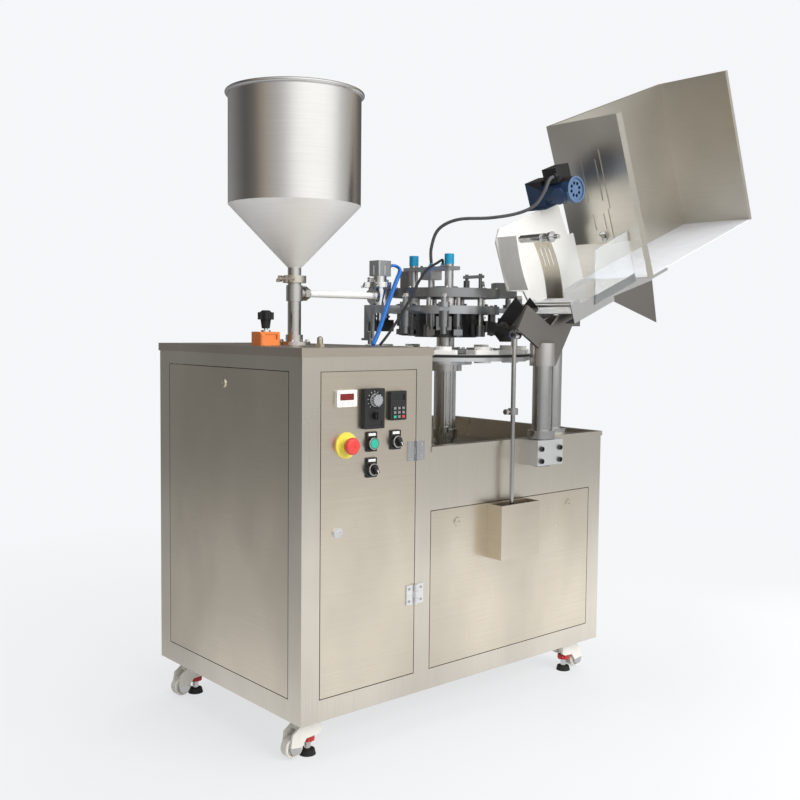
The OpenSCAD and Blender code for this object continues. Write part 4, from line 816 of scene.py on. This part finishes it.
SWITCHES = ((195, 624), (268, 624), (195, 564))
SWITCH_FACE_Y = -12
LEGEND_Y = -4.5
LEGEND_RISE = 20.5
legends = [at(x, LEGEND_Y, z + LEGEND_RISE) for x, z in SWITCHES]
add_blocks("switch_legends", legends, (21.4, 1.4, 6.4), "door", WHITE_PLASTIC, 0.0004)
rim = [(11.2, -0.3), (11.2, 1.6), (11.8, 2.4), (13.4, 2.4), (14.4, 1.4), (14.4, -0.3)]
switch_fronts = [(at(x, SWITCH_FACE_Y, z), FRONT) for x, z in SWITCHES]
add_turned("switch_rims", switch_fronts, rim, "door", CHROME, segments=48, capped=False)


def add_ticks(name, centre, radius, body, material):
    """Short marks around a knob, from its lowest to its highest setting."""
    count, first, pitch = 11, -140, 28
    length, half_width = 4, 0.5
    verts, faces = [], []
    for k in range(count):
        turn = math.radians(first + pitch * k)
        outward = Vector((math.sin(turn), 0, math.cos(turn)))
        side = Vector((math.cos(turn), 0, -math.sin(turn)))
        start = len(verts)
        for r, w in ((0, -1), (0, 1), (length, 1), (length, -1)):
            verts.append(centre + (outward * (radius + r) + side * w * half_width) / 1000)
        faces.append(tuple(range(start, start + 4)))
    thicken(add_mesh(name, verts, faces, body, material, smooth=False), 0.4)


SPEED_KNOB = (195, -12.7, 725)
add_ticks("speed_ticks", at(*SPEED_KNOB), 18, "door", WHITE_PLASTIC)

# Light and stage

BACKGROUND = (0.915, 0.925, 0.945)


def joined(nodes, links, operation, a, b):
    """Two values joined by a math operation."""
    node = nodes.new("ShaderNodeMath")
    node.operation = operation
    links.new(a, node.inputs[0])
    links.new(b, node.inputs[1])
    return node.outputs["Value"]


def mapped(nodes, links, value, source, result):
    """A value mapped from one range to another, and held at its ends."""
    node = nodes.new("ShaderNodeMapRange")
    for socket, number in zip(("From Min", "From Max", "To Min", "To Max"), (*source, *result)):
        node.inputs[socket].default_value = number
    links.new(value, node.inputs["Value"])
    return node.outputs["Result"]


def along(nodes, links, vector, direction):
    """How far a vector runs along a direction."""
    node = nodes.new("ShaderNodeVectorMath")
    node.operation = "DOT_PRODUCT"
    node.inputs[1].default_value = direction
    links.new(vector, node.inputs[0])
    return node.outputs["Value"]


def mixed(nodes, links, fac, first, second):
    """A mix of two shaders."""
    node = nodes.new("ShaderNodeMixShader")
    links.new(fac, node.inputs["Fac"])
    links.new(first, node.inputs[1])
    links.new(second, node.inputs[2])
    return node.outputs["Shader"]


def add_floor():
    """A wide pale floor: the background's colour far off, and a soft shadow near the machine."""
    half = 30.0
    corners = [(-half, -half, 0), (half, -half, 0), (half, half, 0), (-half, half, 0)]
    data = bpy.data.meshes.new("floor")
    data.from_pydata(corners, [], [(0, 1, 2, 3)])
    floor = bpy.data.objects.new("floor", data)
    bpy.context.scene.collection.objects.link(floor)
    material, nodes, links = new_material("floor_paper")
    shader = nodes["Principled BSDF"]
    shader.inputs["Base Color"].default_value = (0.74, 0.75, 0.765, 1)
    shader.inputs["Roughness"].default_value = 0.9
    glow = nodes.new("ShaderNodeEmission")
    glow.inputs["Color"].default_value = (*BACKGROUND, 1)
    place = nodes.new("ShaderNodeTexCoord").outputs["Object"]
    path = nodes.new("ShaderNodeLightPath").outputs
    far = nodes.new("ShaderNodeVectorMath")
    far.operation = "LENGTH"
    links.new(place, far.inputs[0])
    distance = far.outputs["Value"]

    # The camera sees more of the shadow near the machine, and gloss sees the glow alone
    share = mapped(nodes, links, distance, (0.8, 2.6), (0.7, 1.0))
    seen = joined(nodes, links, "MULTIPLY", path["Is Camera Ray"], share)
    glowing = joined(nodes, links, "MAXIMUM", seen, path["Is Glossy Ray"])

    # For gloss the glow falls off with distance and towards the back left
    front = along(nodes, links, place, (0.5, -0.85, 0))
    level = mapped(nodes, links, front, (-1.4, 1.0), (0.55, 1.1))
    fall = mapped(nodes, links, distance, (1.2, 5.0), (1.0, 0.42))
    dimmed = joined(nodes, links, "MULTIPLY", level, fall)
    strength = joined(nodes, links, "MAXIMUM", path["Is Camera Ray"], dimmed)
    links.new(strength, glow.inputs["Strength"])

    surface = mixed(nodes, links, glowing, shader.outputs["BSDF"], glow.outputs["Emission"])
    links.new(surface, nodes["Material Output"].inputs["Surface"])
    data.materials.append(material)


# The room's tones from behind (0) to in front (1)
WORLD_STOPS = [
    (0.0, (0.36, 0.36, 0.37)), (0.12, (0.18, 0.18, 0.18)), (0.26, (0.075, 0.075, 0.072)),
    (0.42, (0.11, 0.10, 0.09)), (0.58, (0.34, 0.295, 0.25)), (0.72, (0.40, 0.395, 0.38)),
    (0.82, (0.54, 0.54, 0.53)), (0.91, (0.88, 0.88, 0.88)), (0.97, (1.0, 1.0, 0.99))]


def add_world():
    """A pale surround for the camera; for light, a room that is bright in front and dim elsewhere."""
    world = bpy.data.worlds.new("studio")
    bpy.context.scene.world = world
    world.use_nodes = True
    nodes, links = world.node_tree.nodes, world.node_tree.links
    room = nodes["Background"]
    room.inputs["Strength"].default_value = 1.2
    place = nodes.new("ShaderNodeTexCoord").outputs["Generated"]
    front = along(nodes, links, place, (-0.03, -0.9, 0.43))
    tone = nodes.new("ShaderNodeValToRGB")
    stops = tone.color_ramp.elements
    while len(stops) < len(WORLD_STOPS):
        stops.new(0.5)
    for stop, (position, color) in zip(stops, WORLD_STOPS):
        stop.position = position
        stop.color = (*color, 1)
    links.new(mapped(nodes, links, front, (-1, 1), (0, 1)), tone.inputs["Fac"])
    links.new(tone.outputs["Color"], room.inputs["Color"])
    surround = nodes.new("ShaderNodeBackground")
    surround.inputs["Color"].default_value = (*BACKGROUND, 1)
    path = nodes.new("ShaderNodeLightPath").outputs
    seen = joined(nodes, links, "MAXIMUM", path["Is Camera Ray"], path["Is Transmission Ray"])
    surface = mixed(nodes, links, seen, room.outputs["Background"], surround.outputs["Background"])
    links.new(surface, nodes["World Output"].inputs["Surface"])


def add_lamp(name, place, target, size, power, color=(1, 1, 1)):
    """A soft rectangular lamp that faces a target and doesn't show in gloss."""
    data = bpy.data.lights.new(name, "AREA")
    data.shape = "RECTANGLE"
    data.size, data.size_y = size
    data.energy = power
    data.color = color
    lamp = bpy.data.objects.new(name, data)
    lamp.location = place
    lamp.rotation_euler = (Vector(target) - Vector(place)).to_track_quat("-Z", "Y").to_euler()
    lamp.visible_glossy = False
    bpy.context.scene.collection.objects.link(lamp)


add_floor()
add_world()
add_lamp("key", (0.6, -4.6, 2.8), (0, 0, 0.8), (4.0, 2.6), 170, (1.0, 0.98, 0.95))
add_lamp("top", (0.2, 0.2, 4.6), (0, 0, 0.9), (3.0, 2.4), 110)
add_lamp("rear", (3.6, 2.6, 2.8), (0, 0, 1.0), (2.4, 2.4), 60)

bpy.context.scene.view_settings.view_transform = "Standard"
